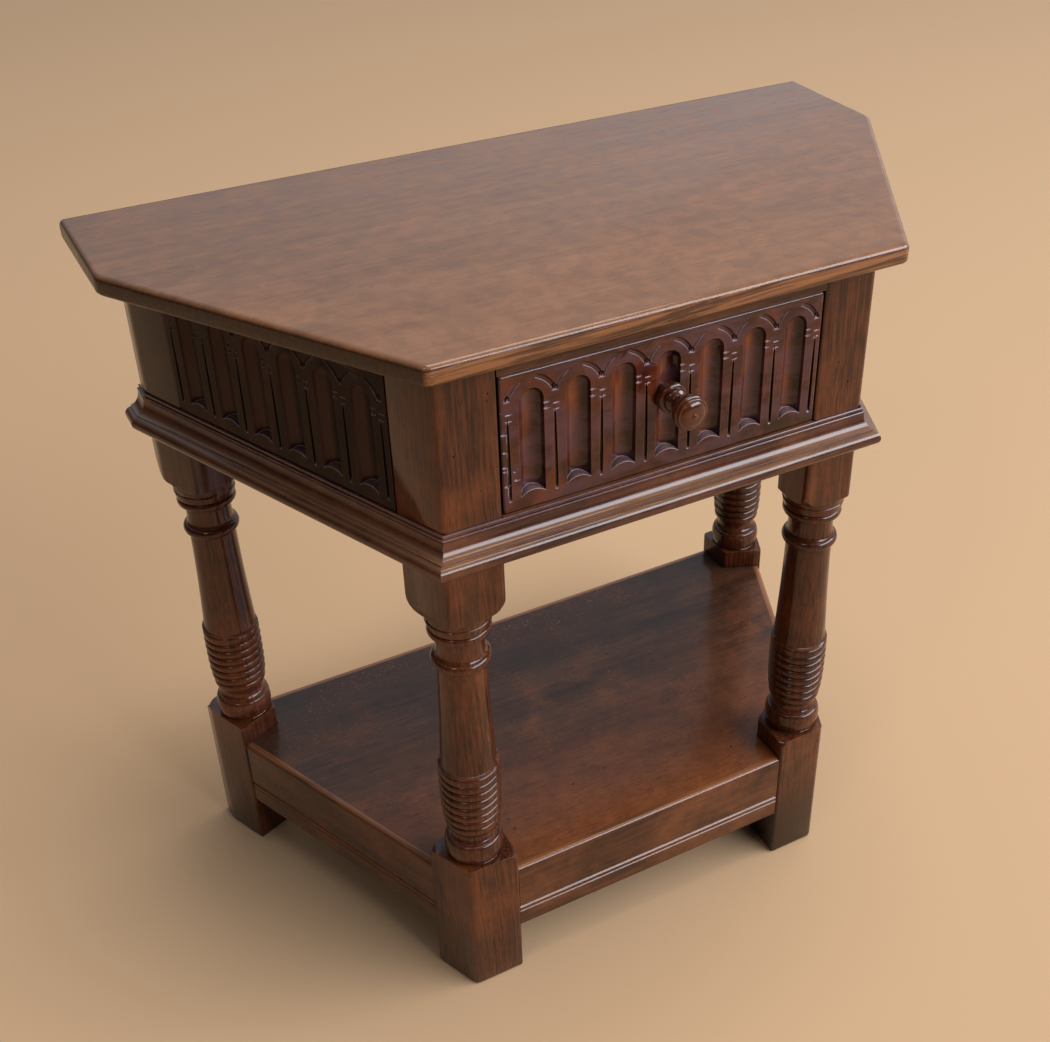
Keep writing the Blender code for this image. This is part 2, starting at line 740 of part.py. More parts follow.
def make_post(name, plan, axis, left, at_front):
    """Turn one post from its blank, then cut its mortises."""
    placement = Matrix.Translation(axis.to_3d())
    bm = bmesh.new()
    add_prism(bm, [tuple(point - axis) for point in plan], 0.0, FRAME_TOP)
    upright = [edge for edge in bm.edges if abs(edge.verts[0].co.z - edge.verts[1].co.z) > POST_ARRIS]
    bevel(bm, upright, POST_ARRIS)
    bevel(bm, edges_where(bm, lambda co: co.z < FOOT_ROUND), FOOT_ROUND, SMALL_ROUND_STEPS)
    post = add_object(name, bm, WORN_OAK, placement)

    turning = add_object(name + "_turning", turned(post_profile()), None, placement)
    shade_round(turning)
    cut(post, turning, "INTERSECT")

    bm = bmesh.new()
    for board_name, at_end in joints_of(left, at_front):
        BOARDS[board_name].add_tenon(bm, at_end, JOINT_CLEARANCE)
    if at_front:
        tail = lap_tail(not left, JOINT_CLEARANCE)
        low = DRAWER_HEAD - JOINT_CLEARANCE
        add_prism(bm, tail, low, FRAME_TOP + OVERRUN, SIDES["front"].matrix)
    cut(post, add_object(name + "_mortises", bm))


def make_posts():
    left, front, right, back = (SIDES[name] for name in ("left", "front", "right", "back"))
    front_left = turning_axis(left, front, FRONT_AXIS_INSET)
    front_right = turning_axis(front, right, FRONT_AXIS_INSET)
    back_left = turning_axis(back, left, BACK_AXIS_INSET)
    back_right = turning_axis(right, back, BACK_AXIS_INSET)
    make_post("leg_front_left", front_post_plan(True), front_left, True, True)
    make_post("leg_front_right", front_post_plan(False), front_right, False, True)
    make_post("leg_back_left", back_post_plan(True), back_left, True, False)
    make_post("leg_back_right", back_post_plan(False), back_right, False, False)


# Arcade carving, in axes whose Y runs into the wood and whose Z is the height above the drawer's level
def add_flute(bm, centre, drop):
    """Scooped flute with a round arched head and a foot that curves up in the middle."""
    half = FLUTE_WIDTH / 2
    spring = DRAWER_HEAD - FLUTE_SPRING_DROP - drop
    foot = DRAWER_SEAT + FLUTE_FOOT_RISE - drop
    steps = FLUTE_SECTION_STEPS
    across_shares = [-math.cos(math.pi * i / steps) for i in range(steps + 1)]

    def ring(heights, scale):
        points = []
        for share, height in zip(across_shares, heights):
            depth = FLUTE_DEPTH * math.sqrt(max(0.0, 1.0 - share * share)) * scale
            points.append((centre + half * share * scale, depth, height))
        points.append((centre + half * scale, -OVERRUN, heights[-1]))
        points.append((centre - half * scale, -OVERRUN, heights[0]))
        return points

    rings = [ring([foot + FLUTE_FOOT_CROWN * (1.0 - share * share) for share in across_shares], 1.0)]
    for step in range(FLUTE_HEAD_STEPS + 1):
        angle = math.radians(FLUTE_HEAD_DEGREES) * step / FLUTE_HEAD_STEPS
        level = spring + half * math.sin(angle)
        rings.append(ring([level] * len(across_shares), math.cos(angle)))
    add_skin(bm, rings)


def add_groove(bm, centre, drop):
    """Long tapered groove, narrow at the top and widest low down."""
    head = DRAWER_HEAD - GROOVE_HEAD_DROP - drop
    foot = DRAWER_SEAT + GROOVE_FOOT_RISE - drop
    widest = foot + (head - foot) * GROOVE_WIDEST_SHARE
    half = GROOVE_WIDTH / 2
    stations = (
        (foot, half / 2, GROOVE_DEPTH / 2),
        (widest, half, GROOVE_DEPTH),
        (head, half / 4, GROOVE_DEPTH / 3),
    )
    rings = []
    for height, reach, depth in stations:
        section = ((-reach, 0.0), (0.0, depth), (reach, 0.0), (reach, -OVERRUN), (-reach, -OVERRUN))
        rings.append([(centre + x, y, height) for x, y in section])
    add_skin(bm, rings)


def add_arch_line(bm, centre, drop):
    """V-cut line that springs round one flute's head."""
    spring = DRAWER_HEAD - FLUTE_SPRING_DROP - drop
    inner = ARCH_RADIUS - ARCH_LINE_WIDTH / 2
    outer = ARCH_RADIUS + ARCH_LINE_WIDTH / 2
    section = (
        (inner, 0.0),
        (ARCH_RADIUS, ARCH_LINE_DEPTH),
        (outer, 0.0),
        (outer, -OVERRUN),
        (inner, -OVERRUN),
    )
    turns = arc((0.0, 0.0), 1.0, ARCH_START_DEGREES, 180.0 - ARCH_START_DEGREES, ARCH_STEPS)
    rings = [[(centre + r * x, y, spring + r * z) for r, y in section] for x, z in turns]
    add_skin(bm, rings)


def arcade_cutter(name, width, middle, drop, placement, parent=None):
    """All the cuts of one arcade: as many flutes as fit, their arch lines and the grooves between."""
    bm = bmesh.new()
    count = int(width / ARCADE_LEAST_PITCH)
    pitch = width / count
    first = middle - pitch * (count - 1) / 2
    for index in range(count):
        add_flute(bm, first + pitch * index, drop)
        add_arch_line(bm, first + pitch * index, drop)
    for index in range(count + 1):
        add_groove(bm, first + pitch * (index - 0.5), drop)
    return add_object(name, bm, None, placement, parent)


# Frieze boards and drawer rails
def add_tenons(item, board):
    """Join both tenons to a board with a union."""
    bm = bmesh.new()
    for at_end in (False, True):
        board.add_tenon(bm, at_end)
    cut(item, add_object(item.name + "_tenons", bm), "UNION")


def make_frieze():
    """Carved canted boards and the plain back board."""
    for where in ("left", "right", "back"):
        name = "frieze_" + where
        board = BOARDS[name]
        bm = bmesh.new()
        add_box(bm, (0.0, 0.0, board.low), (board.length, FRIEZE_THICKNESS, board.high))
        item = add_object(name, bm, DARK_OAK, board.matrix)
        add_tenons(item, board)
        if where == "back":
            continue
        width = board.length - 2 * PANEL_ARCADE_MARGIN
        carving = arcade_cutter(name + "_carving", width, board.length / 2, PANEL_ARCADE_DROP, board.matrix)
        cut(item, carving)


def make_drawer_rails():
    """Rail under the drawer, tenoned, and the rail over it, dovetailed into the post tops."""
    seat = BOARDS["drawer_seat"]
    bm = bmesh.new()
    add_box(bm, (0.0, 0.0, seat.low), (seat.length, DRAWER_RAIL_DEPTH, seat.high))
    add_tenons(add_object("drawer_rail_lower", bm, DARK_OAK, seat.matrix), seat)

    front = SIDES["front"]
    bm = bmesh.new()
    add_box(bm, (seat.start, 0.0, DRAWER_HEAD), (seat.end, DRAWER_RAIL_DEPTH, FRAME_TOP))
    item = add_object("drawer_rail_upper", bm, DARK_OAK, front.matrix)
    bm = bmesh.new()
    for at_end in (False, True):
        add_prism(bm, lap_tail(at_end), DRAWER_HEAD, FRAME_TOP)
    cut(item, add_object("drawer_rail_upper_tails", bm, None, front.matrix), "UNION")


# Moulding
def moulding_section():
    """Section as (projection, height), down the face and back up the wall."""
    top = DRAWER_SEAT
    quirk_top = top - MOULDING_UPPER_DROP
    quirk_foot = quirk_top - MOULDING_QUIRK
    hollow_top = top - MOULDING_LOWER_DROP
    points = [
        (SEAT_GAP, top),
        (MOULDING_UPPER_FILLET, top),
        (MOULDING_UPPER_FILLET, quirk_top),
        (MOULDING_UPPER_FILLET - MOULDING_QUIRK, (quirk_top + quirk_foot) / 2),
        (MOULDING_UPPER_FILLET, quirk_foot),
        (MOULDING_LOWER_FILLET, quirk_foot),
        (MOULDING_LOWER_FILLET, hollow_top),
    ]
    reach = HOLLOW_REACH - MOULDING_LOWER_FILLET
    drop = HOLLOW_DROP - MOULDING_LOWER_DROP
    for step in range(1, HOLLOW_STEPS + 1):
        angle = math.pi / 2 * step / HOLLOW_STEPS
        out = MOULDING_LOWER_FILLET + reach * (1.0 - math.cos(angle))
        points.append((out, hollow_top - drop * math.sin(angle)))
    points.append((HOLLOW_REACH, top - HOLLOW_DROP - NOSE_QUIRK_DEPTH))
    centre = (NOSE_REACH - NOSE_RADIUS, top - NOSE_CENTRE_DROP)
    points += arc(centre, NOSE_RADIUS, NOSE_START_DEGREES, -90.0, NOSE_STEPS)
    points.append((SEAT_GAP, top - NOSE_CENTRE_DROP - NOSE_RADIUS))
    return points


def make_moulding():
    """Five lengths, mitred where they meet and cut square at the back."""
    pieces = (
        ("moulding_front", "front", True, True),
        ("moulding_left", "left", True, True),
        ("moulding_right", "right", True, True),
        ("moulding_return_left", "short_left", False, True),
        ("moulding_return_right", "short_right", True, False),
    )
    for name, where, mitre_start, mitre_end in pieces:
        side = SIDES[where]
        start_slope = math.tan(side.turn_start / 2) if mitre_start else 0.0
        end_slope = math.tan(side.turn_end / 2) if mitre_end else 0.0
        start_ring = []
        end_ring = []
        for projection, height in moulding_section():
            start_x = SEAT_GAP / 2 - projection * start_slope
            end_x = side.length - SEAT_GAP / 2 + projection * end_slope
            start_ring.append((start_x, -projection, height))
            end_ring.append((end_x, -projection, height))
        bm = bmesh.new()
        add_skin(bm, [start_ring, end_ring])
        add_object(name, bm, DARK_OAK, side.matrix)


# Lower rails and shelf
def lower_rail_section():
    """Section as (inward, height): grooved face, rounded nose, lip and the rebate for the shelf."""
    nose = LOWER_RAIL_NOSE
    middle = LOWER_RAIL_BOTTOM + LOWER_GROOVE_RISE
    points = [(0.0, LOWER_RAIL_BOTTOM)]
    for centre in (middle - LOWER_GROOVE_PITCH / 2, middle + LOWER_GROOVE_PITCH / 2):
        points.append((0.0, centre - LOWER_GROOVE_WIDTH / 2))
        points.append((LOWER_GROOVE_DEPTH, centre))
        points.append((0.0, centre + LOWER_GROOVE_WIDTH / 2))
    points += arc((nose, SHELF_LEVEL - nose), nose, 180.0, 90.0, LOWER_RAIL_NOSE_STEPS)
    points += [
        (LOWER_RAIL_LIP, SHELF_LEVEL),
        (LOWER_RAIL_LIP, SHELF_REBATE),
        (LOWER_RAIL_THICKNESS, SHELF_REBATE),
        (LOWER_RAIL_THICKNESS, LOWER_RAIL_BOTTOM),
    ]
    return points


def make_lower_rails():
    for where in ("front", "left", "right", "back"):
        name = "lower_rail_" + where
        board = BOARDS[name]
        bm = bmesh.new()
        add_bar(bm, lower_rail_section(), 0.0, board.length)
        add_tenons(add_object(name, bm, DARK_OAK, board.matrix), board)


def make_shelf():
    """Shelf board in the rebates, notched round the posts."""
    inset = LOWER_RAIL_SETBACK + LOWER_RAIL_LIP + SEAT_GAP
    outline = []
    for side in SIDES.values():
        outline.append(tuple(side.point(inset * math.tan(side.turn_start / 2), inset)))
    bm = bmesh.new()
    add_prism(bm, outline, SHELF_REBATE + SEAT_GAP, SHELF_LEVEL)
    shelf = add_object("shelf", bm, SHELF_OAK)
    bm = bmesh.new()
    for left in (True, False):
        for plan in (front_post_plan(left), back_post_plan(left)):
            add_prism(bm, grown(plan, SEAT_GAP), SHELF_REBATE - OVERRUN, SHELF_LEVEL + OVERRUN)
    cut(shelf, add_object("shelf_notches", bm))


# Bars that carry, steer and keep down the drawer
def across(sign, near, far):
    """Low and high X of a span between two distances from the middle, on one side."""
    return sorted((sign * near, sign * far))


def make_runner(label, sign):
    """Runner behind the post, stepped outwards under the guide."""
    notch = max(point.y for point in front_post_plan(True)) + RUNNER_POST_GAP
    start = DRAWER_RAIL_BACK + SEAT_GAP
    inner = POST_INNER - RUNNER_TREAD
    post_side = POST_INNER - SEAT_GAP
    outer = POST_INNER + GUIDE_WIDTH
    plan = [
        (sign * inner, start),
        (sign * post_side, start),
        (sign * post_side, notch),
        (sign * outer, notch),
        (sign * outer, BACK_WALL),
        (sign * inner, BACK_WALL),
    ]
    bm = bmesh.new()
    add_prism(bm, plan, DRAWER_SEAT - RUNNER_HEIGHT, DRAWER_SEAT)
    add_object("runner_" + label, bm, PLAIN_OAK)

    low_x, high_x = across(sign, POST_INNER, outer)
    level = DRAWER_SEAT + SEAT_GAP
    bm = bmesh.new()
    add_box(bm, (low_x, notch, level), (high_x, BACK_WALL, level + GUIDE_HEIGHT))
    add_object("guide_" + label, bm, PLAIN_OAK)


def make_kicker(label, sign):
    """Bar over the drawer's side that keeps the open drawer from tipping."""
    outer = POST_INNER - SEAT_GAP
    low_x, high_x = across(sign, outer - KICKER_WIDTH, outer)
    bm = bmesh.new()
    start = DRAWER_RAIL_BACK + SEAT_GAP
    add_box(bm, (low_x, start, DRAWER_HEAD), (high_x, BACK_WALL, FRAME_TOP))
    add_object("kicker_" + label, bm, PLAIN_OAK)


def make_stop(label, sign):
    """Small block on the lower rail that the drawer's front closes against."""
    centre = sign * POST_INNER * STOP_PLACE_SHARE
    front = FRAME_FRONT + DRAWER_FRONT_THICKNESS + SEAT_GAP
    level = DRAWER_SEAT + SEAT_GAP
    low = (centre - STOP_WIDTH / 2, front, level)
    high = (centre + STOP_WIDTH / 2, front + STOP_DEPTH, level + STOP_HEIGHT)
    bm = bmesh.new()
    add_box(bm, low, high)
    add_object("drawer_stop_" + label, bm, PLAIN_OAK)


def make_drawer_supports():
    for label, sign in (("left", -1.0), ("right", 1.0)):
        make_runner(label, sign)
        make_kicker(label, sign)
        make_stop(label, sign)


def make_top_block(name, board, middle):
    """Chamfered block behind a frieze board that holds the top down."""
    near = FRIEZE_THICKNESS + SEAT_GAP
    far = near + BLOCK_SIZE
    low = FRAME_TOP - BLOCK_SIZE
    section = [
        (near, low),
        (far - BLOCK_CHAMFER, low),
        (far, low + BLOCK_CHAMFER),
        (far, FRAME_TOP),
        (near, FRAME_TOP),
    ]
    bm = bmesh.new()
    add_bar(bm, section, middle - BLOCK_LENGTH / 2, middle + BLOCK_LENGTH / 2)
    add_object(name, bm, PLAIN_OAK, board.matrix)


def make_top_blocks():
    for where in ("left", "right"):
        board = BOARDS["frieze_" + where]
        for number, share in enumerate(PANEL_BLOCK_SHARES, 1):
            make_top_block(f"top_block_{where}_{number}", board, board.length * share)
    board = BOARDS["frieze_back"]
    reach = POST_INNER * BACK_BLOCK_SHARE
    for number, place in enumerate((-reach, reach), 1):
        make_top_block(f"top_block_back_{number}", board, board.length / 2 + place)


# Drawer
def tail_points(root, tip, low, high, clearance=0.0, beyond=0.0):
    """Dovetails up one edge of a board, as (y, z) points running upwards.

    A cutter is wider by a clearance, and runs on past the tip at the same slope.
    """
    pitch = (high - low) / TAIL_COUNT
    direction = 1.0 if tip > root else -1.0
    slope = (PIN_WIDE - PIN_NARROW) / 2 / abs(tip - root)
    points = []
    for index in range(TAIL_COUNT):
        middle = low + pitch * (index + 0.5)
        neck = (pitch - PIN_WIDE) / 2 + clearance
        wide = neck + slope * (abs(tip - root) + beyond)
        points.append((root, middle - neck))
        points.append((tip + direction * beyond, middle - wide))
        points.append((tip + direction * beyond, middle + wide))
        points.append((root, middle + neck))
    return points


def add_tail_cutters(bm, points):
    """Through both drawer sides, one bar for each tail."""
    near = DRAWER_SIDE_INNER - JOINT_CLEARANCE
    far = DRAWER_HALF_WIDTH + OVERRUN
    for sign in (-1.0, 1.0):
        low_x, high_x = across(sign, near, far)
        for index in range(TAIL_COUNT):
            add_bar(bm, points[index * 4 : index * 4 + 4], low_x, high_x)


def make_drawer_front(slide):
    """Carved front with lapped dovetail sockets, the groove for the bottom and the knob hole."""
    bm = bmesh.new()
    high = (DRAWER_HALF_WIDTH, DRAWER_FRONT_THICKNESS, DRAWER_FRONT_HEIGHT)
    add_box(bm, (-DRAWER_HALF_WIDTH, 0.0, 0.0), high)
    face_edges = edges_where(bm, lambda co: co.y < DRAWER_FRONT_ROUND)
    bevel(bm, face_edges, DRAWER_FRONT_ROUND, SMALL_ROUND_STEPS)
    front = add_object("drawer_front", bm, DARK_OAK, None, slide)

    width = 2 * (DRAWER_HALF_WIDTH - DRAWER_ARCADE_MARGIN)
    carving = arcade_cutter("drawer_front_carving", width, 0.0, DRAWER_LEVEL, None, slide)
    cut(front, carving)

    bm = bmesh.new()
    low = max(DRAWER_SIDE_LOW, 0.0)
    span = (DRAWER_FRONT_BACK, FRONT_LAP, low, DRAWER_SIDE_HIGH)
    add_tail_cutters(bm, tail_points(*span, JOINT_CLEARANCE, JOINT_CLEARANCE))
    cut(front, add_object("drawer_front_sockets", bm, None, None, slide))

    bm = bmesh.new()
    groove_face = DRAWER_FRONT_THICKNESS - DRAWER_GROOVE_DEPTH
    low = (-DRAWER_SIDE_INNER, groove_face, DRAWER_BOTTOM_RISE - JOINT_CLEARANCE)
    high_y = DRAWER_FRONT_THICKNESS + OVERRUN
    high = (DRAWER_SIDE_INNER, high_y, DRAWER_BOTTOM_TOP + JOINT_CLEARANCE)
    add_box(bm, low, high)
    cut(front, add_object("drawer_front_groove", bm, None, None, slide))

    hole_radius = KNOB_SPIGOT_RADIUS + SEAT_GAP
    hole_end = -DRAWER_FRONT_THICKNESS - OVERRUN
    hole = turned([(0.0, OVERRUN), (hole_radius, OVERRUN), (hole_radius, hole_end), (0.0, hole_end)])
    cut(front, add_object("drawer_front_knob_hole", hole, None, knob_placement(), slide))


def make_drawer_side(slide, label, sign):
    """Side with three tails at each end and a groove for the bottom."""
    low = max(DRAWER_SIDE_LOW, 0.0)
    rear_root = DRAWER_BACK_FACE - SEAT_GAP
    outline = [(DRAWER_FRONT_BACK, DRAWER_SIDE_LOW)]
    outline += tail_points(DRAWER_FRONT_BACK, FRONT_LAP, low, DRAWER_SIDE_HIGH)
    outline += [(DRAWER_FRONT_BACK, DRAWER_SIDE_HIGH), (rear_root, DRAWER_SIDE_HIGH)]
    rear = tail_points(rear_root, DRAWER_LENGTH, DRAWER_BACK_LOW, DRAWER_BACK_HIGH)
    outline += reversed(rear)
    outline += [
        (rear_root, DRAWER_BACK_LOW),
        (DRAWER_LENGTH, DRAWER_BACK_LOW),
        (DRAWER_LENGTH, DRAWER_SIDE_LOW),
    ]
    bm = bmesh.new()
    add_bar(bm, outline, *across(sign, DRAWER_SIDE_INNER, DRAWER_HALF_WIDTH))
    item = add_object("drawer_side_" + label, bm, PLAIN_OAK, None, slide)

    groove_floor = DRAWER_SIDE_INNER + DRAWER_GROOVE_DEPTH
    low_x, high_x = across(sign, DRAWER_SIDE_INNER - OVERRUN, groove_floor)
    bm = bmesh.new()
    low = (low_x, -OVERRUN, DRAWER_BOTTOM_RISE - JOINT_CLEARANCE)
    high = (high_x, DRAWER_LENGTH + OVERRUN, DRAWER_BOTTOM_TOP + JOINT_CLEARANCE)
    add_box(bm, low, high)
    cut(item, add_object(item.name + "_groove", bm, None, None, slide))


def make_drawer_back(slide):
    """Back that stands on the bottom, with sockets for the sides' tails."""
    bm = bmesh.new()
    low = (-DRAWER_HALF_WIDTH, DRAWER_BACK_FACE, DRAWER_BACK_LOW)
    add_box(bm, low, (DRAWER_HALF_WIDTH, DRAWER_LENGTH, DRAWER_BACK_HIGH))
    back = add_object("drawer_back", bm, PLAIN_OAK, None, slide)
    bm = bmesh.new()
    span = (DRAWER_BACK_FACE - SEAT_GAP, DRAWER_LENGTH, DRAWER_BACK_LOW, DRAWER_BACK_HIGH)
    add_tail_cutters(bm, tail_points(*span, JOINT_CLEARANCE, OVERRUN))
    cut(back, add_object("drawer_back_pins", bm, None, None, slide))


def make_drawer_bottom(slide):
    """Thin board slid into the grooves from behind, under the back."""
    reach = DRAWER_SIDE_INNER + DRAWER_GROOVE_DEPTH - JOINT_CLEARANCE
    front_edge = DRAWER_FRONT_THICKNESS - DRAWER_GROOVE_DEPTH + JOINT_CLEARANCE
    bm = bmesh.new()
    low = (-reach, front_edge, DRAWER_BOTTOM_RISE)
    add_box(bm, low, (reach, DRAWER_LENGTH, DRAWER_BOTTOM_TOP))
    add_object("drawer_bottom", bm, PLAIN_OAK, None, slide)


def knob_placement():
    """Axes of the knob, whose Z points out of the drawer's front."""
    centre = Matrix.Translation((0.0, 0.0, KNOB_RISE - DRAWER_SEAT_GAP))
    return centre @ Matrix.Rotation(math.pi / 2, 4, "X")


def knob_profile():
    """Turning of the knob, from its face down to the end of the spigot."""
    ring_third = (KNOB_RING_END - KNOB_COLLAR_END) / 3
    face_rise = KNOB_REACH - KNOB_FACE_START
    waist_radius = (KNOB_HEAD_RADIUS + KNOB_NECK_RADIUS) / 2
    return [
        (0.0, KNOB_REACH),
        (KNOB_FACE_RADIUS / 2, KNOB_REACH - face_rise / 4),
        (KNOB_FACE_RADIUS, KNOB_FACE_START),
        (KNOB_RIM_RADIUS, KNOB_FACE_START),
        (KNOB_RIM_RADIUS, KNOB_RIM_START),
        (KNOB_HEAD_RADIUS, (KNOB_RIM_START + KNOB_HEAD_WIDEST) / 2),
        (KNOB_HEAD_RADIUS, KNOB_HEAD_WIDEST),
        (waist_radius, (KNOB_HEAD_WIDEST + KNOB_NECK_END) / 2),
        (KNOB_NECK_RADIUS, KNOB_NECK_END),
        (KNOB_NECK_RADIUS, KNOB_NECK_START),
        (KNOB_STEP_RADIUS, KNOB_STEP_END),
        (KNOB_STEP_RADIUS, KNOB_RING_END),
        (KNOB_RING_RADIUS, KNOB_RING_END - ring_third),
        (KNOB_RING_RADIUS, KNOB_COLLAR_END + ring_third),
        (KNOB_COLLAR_RADIUS, KNOB_COLLAR_END),
        (KNOB_COLLAR_RADIUS, SEAT_GAP),
        (KNOB_SPIGOT_RADIUS, SEAT_GAP),
        (KNOB_SPIGOT_RADIUS, -DRAWER_FRONT_THICKNESS),
        (0.0, -DRAWER_FRONT_THICKNESS),
    ]


def make_knob(slide):
    shade_round(add_object("drawer_knob", turned(knob_profile()), DARK_OAK, knob_placement(), slide))


def make_drawer():
    """All the drawer's pieces, carried by an empty on the line that the drawer slides along."""
    slide = bpy.data.objects.new("drawer_slide", None)
    bpy.context.scene.collection.objects.link(slide)
    slide.location = (0.0, FRAME_FRONT, DRAWER_LEVEL)
    make_drawer_front(slide)
    make_drawer_side(slide, "left", -1.0)
    make_drawer_side(slide, "right", 1.0)
    make_drawer_back(slide)
    make_drawer_bottom(slide)
    make_knob(slide)


def main():
    clear_scene()
    make_table_top()
    make_posts()
    make_frieze()
    make_drawer_rails()
    make_moulding()
    make_lower_rails()
    make_shelf()
    make_drawer_supports()
    make_top_blocks()
    make_drawer()


main()
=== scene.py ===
"""Looks of the canted oak side table: worn, waxed oak on turned posts, carved boards and a drawer."""

import logging
import math
from collections.abc import Callable, Sequence
from dataclasses import dataclass, field, replace
from enum import Enum

import bpy
from mathutils import Matrix, Vector


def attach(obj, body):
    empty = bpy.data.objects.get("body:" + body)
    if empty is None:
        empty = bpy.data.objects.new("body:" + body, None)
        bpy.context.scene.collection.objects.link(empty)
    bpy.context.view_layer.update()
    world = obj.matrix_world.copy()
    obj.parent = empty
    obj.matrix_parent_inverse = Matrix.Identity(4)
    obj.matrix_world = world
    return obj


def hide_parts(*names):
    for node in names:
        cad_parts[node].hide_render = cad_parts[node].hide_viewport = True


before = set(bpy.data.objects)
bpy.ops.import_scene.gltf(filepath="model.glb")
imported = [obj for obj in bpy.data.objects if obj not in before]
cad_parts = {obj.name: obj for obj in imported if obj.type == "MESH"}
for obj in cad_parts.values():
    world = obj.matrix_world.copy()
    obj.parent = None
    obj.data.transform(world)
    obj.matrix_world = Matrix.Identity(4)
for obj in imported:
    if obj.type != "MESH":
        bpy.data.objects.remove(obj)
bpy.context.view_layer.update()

LOG = logging.getLogger("side_table")

# Shared names and values
Piece = bpy.types.Object
Socket = bpy.types.NodeSocket
Triple = tuple[float, float, float]
Profile = list[tuple[float, float]]
MM = 0.001
QUARTER_TURN = math.pi / 2
HALF_TURN = math.pi
FULL_TURN = math.tau
SEED = 0.01
WELD = 0.00001
CUT_EDGE = 0.000001
LATHE_STEPS = 72
SMOOTH_DEGREES = 38.0


class Grain(Enum):
    """Which way a piece's fibres run, once its own heading is taken off."""

    ALONG = "along"
    UPRIGHT = "upright"
    ACROSS = "across"


# Modelling steps on Blender's own operators
def clear_selection() -> None:
    """Leave object mode with nothing selected."""
    if bpy.context.object and bpy.context.object.mode != "OBJECT":
        bpy.ops.object.mode_set(mode="OBJECT")
    bpy.ops.object.select_all(action="DESELECT")


def pick(piece: Piece) -> None:
    """Make a piece the only selected and active one."""
    clear_selection()
    piece.select_set(True)
    bpy.context.view_layer.objects.active = piece


def edit_all(piece: Piece, kind: str = "VERT") -> None:
    """Open a piece in edit mode with everything selected, its kind being VERT, EDGE or FACE."""
    pick(piece)
    bpy.ops.object.mode_set(mode="EDIT")
    bpy.ops.mesh.select_mode(type=kind)
    bpy.ops.mesh.select_all(action="SELECT")


def close_edit() -> None:
    """Go back to object mode."""
    bpy.ops.object.mode_set(mode="OBJECT")


def edit_edges(piece: Piece, test: Callable[[Vector, Vector], bool]) -> None:
    """Open a piece in edit mode with only some edges selected.

    Args:
        piece: The object to open.
        test: Takes an edge's two ends and says whether it is wanted.
    """
    edit_all(piece, "EDGE")
    bpy.ops.mesh.select_all(action="DESELECT")
    close_edit()
    points = piece.data.vertices
    for edge in piece.data.edges:
        first, second = edge.vertices
        edge.select = test(points[first].co, points[second].co)
    bpy.ops.object.mode_set(mode="EDIT")


def round_edges(
    piece: Piece, test: Callable[[Vector, Vector], bool], width: float, segments: int, clamp: bool = False
) -> None:
    """Round some of a piece's edges.

    Args:
        piece: The object to round.
        test: Takes an edge's two ends and says whether it is rounded.
        width: Width of the rounding.
        segments: Facets across it.
        clamp: Whether the rounding stops short of its neighbours.
    """
    edit_edges(piece, test)
    bpy.ops.mesh.bevel(offset=width, segments=segments, affect="EDGES", clamp_overlap=clamp)
    close_edit()


def draw_chain(name: str, points: Sequence[Vector]) -> Piece:
    """Draw a chain of edges by extruding one corner from point to point.

    Args:
        name: Name of the new object.
        points: The corners, in order.

    Returns:
        An object at the origin that holds the chain.
    """
    clear_selection()
    bpy.ops.mesh.primitive_plane_add(size=SEED, location=(0.0, 0.0, 0.0))
    chain = take_new(name)
    edit_all(chain)
    bpy.ops.mesh.merge(type="CENTER")
    bpy.ops.mesh.select_all(action="SELECT")
    bpy.ops.transform.translate(value=points[0])
    for before, after in zip(points, points[1:]):
        bpy.ops.mesh.extrude_vertices_move(TRANSFORM_OT_translate={"value": after - before})
    close_edit()
    return chain


def face_normals_out(piece: Piece) -> None:
    """Weld a closed mesh's doubles and turn every face outwards."""
    edit_all(piece)
    bpy.ops.mesh.remove_doubles(threshold=WELD)
    bpy.ops.mesh.select_all(action="SELECT")
    bpy.ops.mesh.normals_make_consistent(inside=False)
    close_edit()


def turn_profile(name: str, profile: Sequence[tuple[float, float]], steps: int = LATHE_STEPS) -> Piece:
    """Turn a solid from a chain of (radius, height) about the Z axis.

    Args:
        name: Name of the new object.
        profile: Radius and height of each corner, from one end of the axis to the other.
        steps: Facets round the turning.

    Returns:
        The turned solid at the origin.
    """
    solid = draw_chain(name, [Vector((radius, 0.0, height)) for radius, height in profile])
    edit_all(solid)
    bpy.ops.mesh.spin(steps=steps, angle=FULL_TURN, center=(0.0, 0.0, 0.0), axis=(0.0, 0.0, 1.0))
    close_edit()
    face_normals_out(solid)
    return solid


def extrude_outline(name: str, points: Sequence[Vector], travel: Vector) -> Piece:
    """Fill a closed outline and extrude it into a solid bar.

    Args:
        name: Name of the new object.
        points: Corners of the outline, without the first one again.
        travel: How far and which way the outline is pulled.

    Returns:
        The solid at the origin.
    """
    solid = draw_chain(name, [*points, points[0]])
    edit_all(solid)
    bpy.ops.mesh.remove_doubles(threshold=CUT_EDGE)
    bpy.ops.mesh.select_all(action="SELECT")
    bpy.ops.mesh.edge_face_add()
    bpy.ops.mesh.select_all(action="SELECT")
    bpy.ops.mesh.extrude_region_move(TRANSFORM_OT_translate={"value": travel})
    bpy.ops.mesh.select_all(action="SELECT")
    bpy.ops.mesh.normals_make_consistent(inside=False)
    close_edit()
    return solid


def take_new(name: str, scale: Sequence[float] = (1.0, 1.0, 1.0)) -> Piece:
    """Name the primitive that was just added, stretch it and settle it.

    Args:
        name: Its name.
        scale: How far it is stretched along each of its own axes.

    Returns:
        The primitive, at the origin with its place in its mesh.
    """
    piece = bpy.context.object
    piece.name = name
    piece.data.name = name
    piece.scale = scale
    settle(piece)
    return piece


